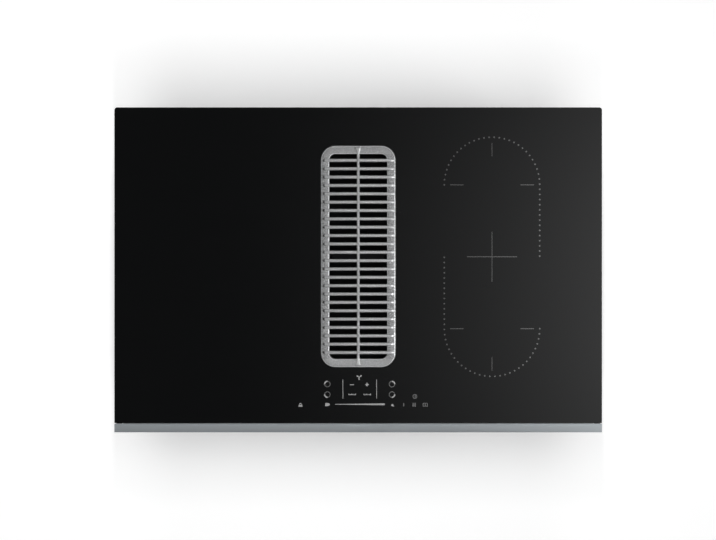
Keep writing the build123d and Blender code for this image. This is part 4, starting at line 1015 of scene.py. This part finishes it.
class COOKTOP_OT_fixings(CooktopStep, bpy.types.Operator):
    """Adds round-headed screws with cross recesses and the threads of the clamp bolts"""

    bl_idname = "cooktop.fixings"
    bl_label = "Screws and threads"

    flange_head_radius = 3.8
    tray_head = (3.0, 1.6)
    lid_head = (2.8, 1.4)
    tray_rim = 5.0
    # Tray screws: in from the ends of a side wall and of the front wall, above the middle of the wall.
    side_inset = 40
    front_inset = 60
    above_middle = 16
    lid_inset = 8
    bolt_radius = 3.0
    bolt_head = 6.0
    arm_thickness = 3.0
    thread_pitch = 1.0
    thread_depth = 0.35
    thread_gap = 0.5

    def screw(self, radius, height):
        """A pan head with a cross recess, its seat at the origin and its crown along Z."""
        arm, slot, depth = radius * 0.62, radius * 0.15, height * 0.55
        corner = degrees(atan2(slot, arm))
        turns = [(q + a, a) for q in (0, 90, 180, 270) for a in (-corner, corner, 25.0, 45.0, 65.0)]

        def recess(angle):
            a = radians(abs(angle))
            if abs(angle) <= corner + 0.01:
                return arm / cos(a)
            return slot / (sin(a) if angle <= 45 else cos(a))

        rings = []
        for share, level in ((1.0, -0.15), (1.0, 0.35), (0.93, 0.7), (0.72, 0.95)):
            rings.append([(*around(radius * share, turn), level * height) for turn, _ in turns])
        for share, level in ((1.0, height), (0.8, height - depth)):
            rings.append([(*around(recess(angle) * share, turn), level) for turn, angle in turns])
        mesh = bmesh.new()
        sweep(mesh, rings)
        return solid(mesh, "screw_shape")

    def place(self, name, spots, head, facing, seed, stands_for=()):
        """Screws of the hob at the given spots; head is radius and height."""
        part = self.screw(*head)
        piece = points_object(name, spots)
        values = {"Part": part, "Facing": Vector(facing), "Seed": seed, "Material": finish("screw_steel")}
        self.scatter.run(piece, values)
        bpy.data.objects.remove(part)
        smooth(piece)
        settle(piece, "hob", stands_for=stands_for)

    def execute(self, context):
        self.scatter = scatter_group()
        down = (0, 0, -1)
        heads = islands("flange_screws")
        spots = [(middle.x, middle.y, middle.z + size.z / 2) for middle, size in heads]
        head = (self.flange_head_radius, heads[0][1].z)
        self.place("flange_screw_heads", spots, head, down, 3, ["flange_screws"])

        low, high = box_mm("bottom_tray")
        rim = Vector((self.tray_rim, self.tray_rim, 0))
        low, high = low + rim, high - rim
        level = (low.z + high.z) / 2 + self.above_middle
        along = (low.y + self.side_inset, (low.y + high.y) / 2, high.y - self.side_inset)
        for name, x, way, seed in (("left", low.x, -1, 5), ("right", high.x, 1, 7)):
            self.place("tray_screws_" + name, [(x, y, level) for y in along], self.tray_head, (way, 0, 0), seed)
        spots = [(x, low.y, level) for x in (low.x + self.front_inset, 0, high.x - self.front_inset)]
        self.place("tray_screws_front", spots, self.tray_head, (0, -1, 0), 11)

        low, high = box_mm("terminal_lid")
        inset = self.lid_inset
        spots = [(low.x + inset, low.y + inset, low.z), (high.x - inset, high.y - inset, low.z)]
        self.place("terminal_screws", spots, self.lid_head, down, 13)

        threads = thread_group()
        for corner in ("front_left", "front_right", "rear_left", "rear_right"):
            low, high = box_mm("clamp_" + corner)
            half = (high.x - low.x) / 2
            tip = high.y - half if corner.startswith("front") else low.y + half
            start = low.z + self.bolt_head + self.thread_gap
            length = high.z - self.arm_thickness - self.thread_gap - start
            piece = points_object("thread_" + corner, [(low.x + half, tip, start)])
            values = {
                "Radius": self.bolt_radius * MM,
                "Turns": length / self.thread_pitch,
                "Length": length * MM,
                "Depth": self.thread_depth * MM,
                "Material": finish("screw_steel"),
            }
            threads.run(piece, values)
            settle(piece, corner + "_clamp")
        return {"FINISHED"}


class COOKTOP_OT_stage(CooktopStep, bpy.types.Operator):
    """Sets up floor, soft light, the card that the glass mirrors and the camera"""

    bl_idname = "cooktop.stage"
    bl_label = "Stage, light and camera"

    # In metres: where the camera hangs, how far it is from the glass and how wide it sees there.
    camera_place = (-0.00029, -0.00016, 3.006)
    camera_distance = 3.0
    view_width = 1.1449
    sensor = 36.0

    def plane(self, name, middle, half_x, half_y, faces_down=False):
        data = bpy.data.meshes.new(name)
        corners = [(-half_x, -half_y, 0), (half_x, -half_y, 0), (half_x, half_y, 0), (-half_x, half_y, 0)]
        data.from_pydata(corners, [], [(3, 2, 1, 0) if faces_down else (0, 1, 2, 3)])
        made = put(name, data)
        made.location = middle
        return made

    def glowing(self, piece, name, keep_matt=False):
        """A new glowing material; keep_matt adds the glow to pale matt. Nodes, x, y and the glow's strength."""
        material = bpy.data.materials.new(name)
        material.use_nodes = True
        piece.data.materials.append(material)
        made = Nodes(material.node_tree)
        made.tree.nodes.remove(made.tree.nodes["Principled BSDF"])
        glow = made.node("ShaderNodeEmission")
        shader = glow
        if keep_matt:
            matt = made.node("ShaderNodeBsdfDiffuse", {"Color": (0.9, 0.9, 0.9, 1)})
            shader = made.node("ShaderNodeAddShader", {0: matt.outputs[0], 1: glow.outputs[0]})
        made.feed(made.tree.nodes["Material Output"].inputs["Surface"], shader.outputs[0])
        place = made.axes(made.node("ShaderNodeTexCoord").outputs["Object"])
        return made, place["X"], place["Y"], glow.inputs["Strength"]

    def floor(self):
        """A pale matt floor that runs out to white and keeps the shadow near the object."""
        piece = self.plane("floor", (0, 0, box_mm("suction_tub")[0].z * MM - 0.0002), 40, 40)
        made, x, y, strength = self.glowing(piece, "pale_floor", keep_matt=True)

        def ramp(value, low, high, start, end):
            return made.spread(value, low, high, start, end, "SMOOTHSTEP")

        # Painted light, a glow only for camera, glossy and transmission rays: far from the object, across it with
        # more on the left, past its ends where it lifts the shadow, and a little at its rear and front.
        far = ramp(made.length(x, y), 0.0, 0.8, 0.75, 2.2)
        across = made.spread(x, 0.245, 0.10, -0.6, 0.6)
        ends = ramp(made.maths("ABSOLUTE", x), 0.0, 1.0, 0.288, 0.427)
        height = ramp(made.maths("ABSOLUTE", y), 0.46, 0.05, 0.17, 0.40)
        rear = ramp(y, 0.0, 0.08, 0.0, 0.25)
        front = ramp(y, 0.0, -0.047, -0.353, -0.27)
        total = made.maths("MULTIPLY_ADD", ends, height, made.plus(far, across))
        total = made.plus(total, made.plus(rear, front))
        rays = made.node("ShaderNodeLightPath").outputs
        eye = made.maths("MAXIMUM", rays["Is Camera Ray"], rays["Is Glossy Ray"])
        eye = made.maths("MAXIMUM", eye, rays["Is Transmission Ray"])
        made.feed(strength, made.times(total, eye))

    def only_mirrored(self, piece):
        for ray in ("visible_camera", "visible_diffuse", "visible_transmission", "visible_shadow"):
            setattr(piece, ray, False)

    def card(self):
        """A softly graded card above the camera; only the glass and other glossy faces mirror it."""
        piece = self.plane("mirror_card", (0, 0, 3.3), 1.0, 0.75, faces_down=True)
        self.only_mirrored(piece)
        made, x, y, strength = self.glowing(piece, "graded_card")
        # The glass mirrors a spot of the card from this many times nearer its middle.
        nearer = 2.1
        across = made.maths("MULTIPLY_ADD", x, 1 / nearer / 0.69, 0.3 / 0.69)
        rising = made.maths("POWER", made.maths("MAXIMUM", across, 0.0), 2.6)
        deep = made.maths("MULTIPLY_ADD", y, 1 / nearer / 0.26, 0.03 / 0.26)
        fall = made.maths("MULTIPLY_ADD", made.times(deep, deep), -0.3, 1.15)
        made.feed(strength, made.times(made.times(rising, fall), 0.76))

    def side_card(self):
        """A bright card low on the right, mirrored by slopes that face it."""
        piece = self.plane("side_card", (2.6, -0.5, 0.95), 0.9, 0.6)
        piece.rotation_euler = (Vector((0, 0, 0)) - piece.location).to_track_quat("Z", "Y").to_euler()
        self.only_mirrored(piece)
        made, x, y, strength = self.glowing(piece, "bright_card")
        deep = made.times(made.maths("ABSOLUTE", y), 1.5)
        edge = made.maths("MAXIMUM", made.maths("ABSOLUTE", x), deep)
        made.feed(strength, made.spread(edge, 6.0, 0.0, 0.35, 0.9, "SMOOTHSTEP"))

    def lamp(self, name, watts, across, place, glossy):
        """A soft rectangular light that looks at the middle of the object."""
        data = bpy.data.lights.new(name, "AREA")
        data.shape = "RECTANGLE"
        data.size, data.size_y = across
        data.energy = watts
        made = put(name, data)
        made.location = place
        made.rotation_euler = (-Vector(place)).to_track_quat("-Z", "Y").to_euler()
        made.visible_camera = False
        made.visible_glossy = glossy

    def sky(self):
        """Dim from above and brighter towards the horizon, a little more so on the right."""
        world = bpy.data.worlds.new("studio")
        bpy.context.scene.world = world
        world.use_nodes = True
        made = Nodes(world.node_tree)
        background = made.tree.nodes["Background"].inputs
        background["Color"].default_value = (1, 1, 1, 1)
        way = made.axes(made.node("ShaderNodeTexCoord").outputs["Generated"])
        low = made.maths("SUBTRACT", 1.0, made.maths("MAXIMUM", way["Z"], 0.0))
        glow = made.times(made.times(low, low), made.maths("MULTIPLY_ADD", way["X"], 0.42, 0.55))
        seen = made.node("ShaderNodeLightPath").outputs["Is Camera Ray"]
        made.feed(background["Strength"], made.maths("MAXIMUM", glow, seen))

    def execute(self, context):
        self.floor()
        self.card()
        self.side_card()
        self.sky()
        self.lamp("overhead", 50.0, (0.25, 2.6), (0, 0, 2.2), False)
        self.lamp("key_right", 16.0, (1.0, 1.0), (2.2, -0.3, 1.3), True)
        data = bpy.data.cameras.new("camera")
        data.sensor_width = self.sensor
        data.lens = self.sensor * self.camera_distance / self.view_width
        camera = put("camera", data)
        camera.location = self.camera_place
        bpy.context.scene.camera = camera
        bpy.context.scene.view_settings.view_transform = "Standard"
        return {"FINISHED"}


class COOKTOP_PT_panel(bpy.types.Panel):
    """Lists the steps and the settings of the cooktop"""

    bl_idname = "COOKTOP_PT_panel"
    bl_label = "Cooktop"
    bl_space_type = "VIEW_3D"
    bl_region_type = "UI"
    bl_category = "Cooktop"

    def draw(self, context):
        for step in steps:
            self.layout.operator(step.bl_idname)
        for settings in (context.scene.cooktop_sizes, context.scene.cooktop_colours):
            box = self.layout.box()
            for key in settings.__annotations__:
                box.prop(settings, key)


steps = (
    COOKTOP_OT_surfaces,
    COOKTOP_OT_windings,
    COOKTOP_OT_grille,
    COOKTOP_OT_zone_print,
    COOKTOP_OT_control_print,
    COOKTOP_OT_fixings,
    COOKTOP_OT_stage,
)
classes = (CooktopSizes, CooktopColours, *steps, COOKTOP_PT_panel)


def register():
    """Adds the settings, steps and panel."""
    for kind in classes:
        bpy.utils.register_class(kind)
    bpy.types.Scene.cooktop_sizes = PointerProperty(type=CooktopSizes)
    bpy.types.Scene.cooktop_colours = PointerProperty(type=CooktopColours)


def unregister():
    """Takes the settings, steps and panel away again."""
    del bpy.types.Scene.cooktop_colours
    del bpy.types.Scene.cooktop_sizes
    for kind in reversed(classes):
        bpy.utils.unregister_class(kind)


def main():
    """Builds the scene step by step."""
    register()
    for step in steps:
        family, name = step.bl_idname.split(".")
        if getattr(getattr(bpy.ops, family), name)() != {"FINISHED"}:
            raise RuntimeError(f"{step.bl_label} wasn't finished")


if __name__ == "__main__":
    main()
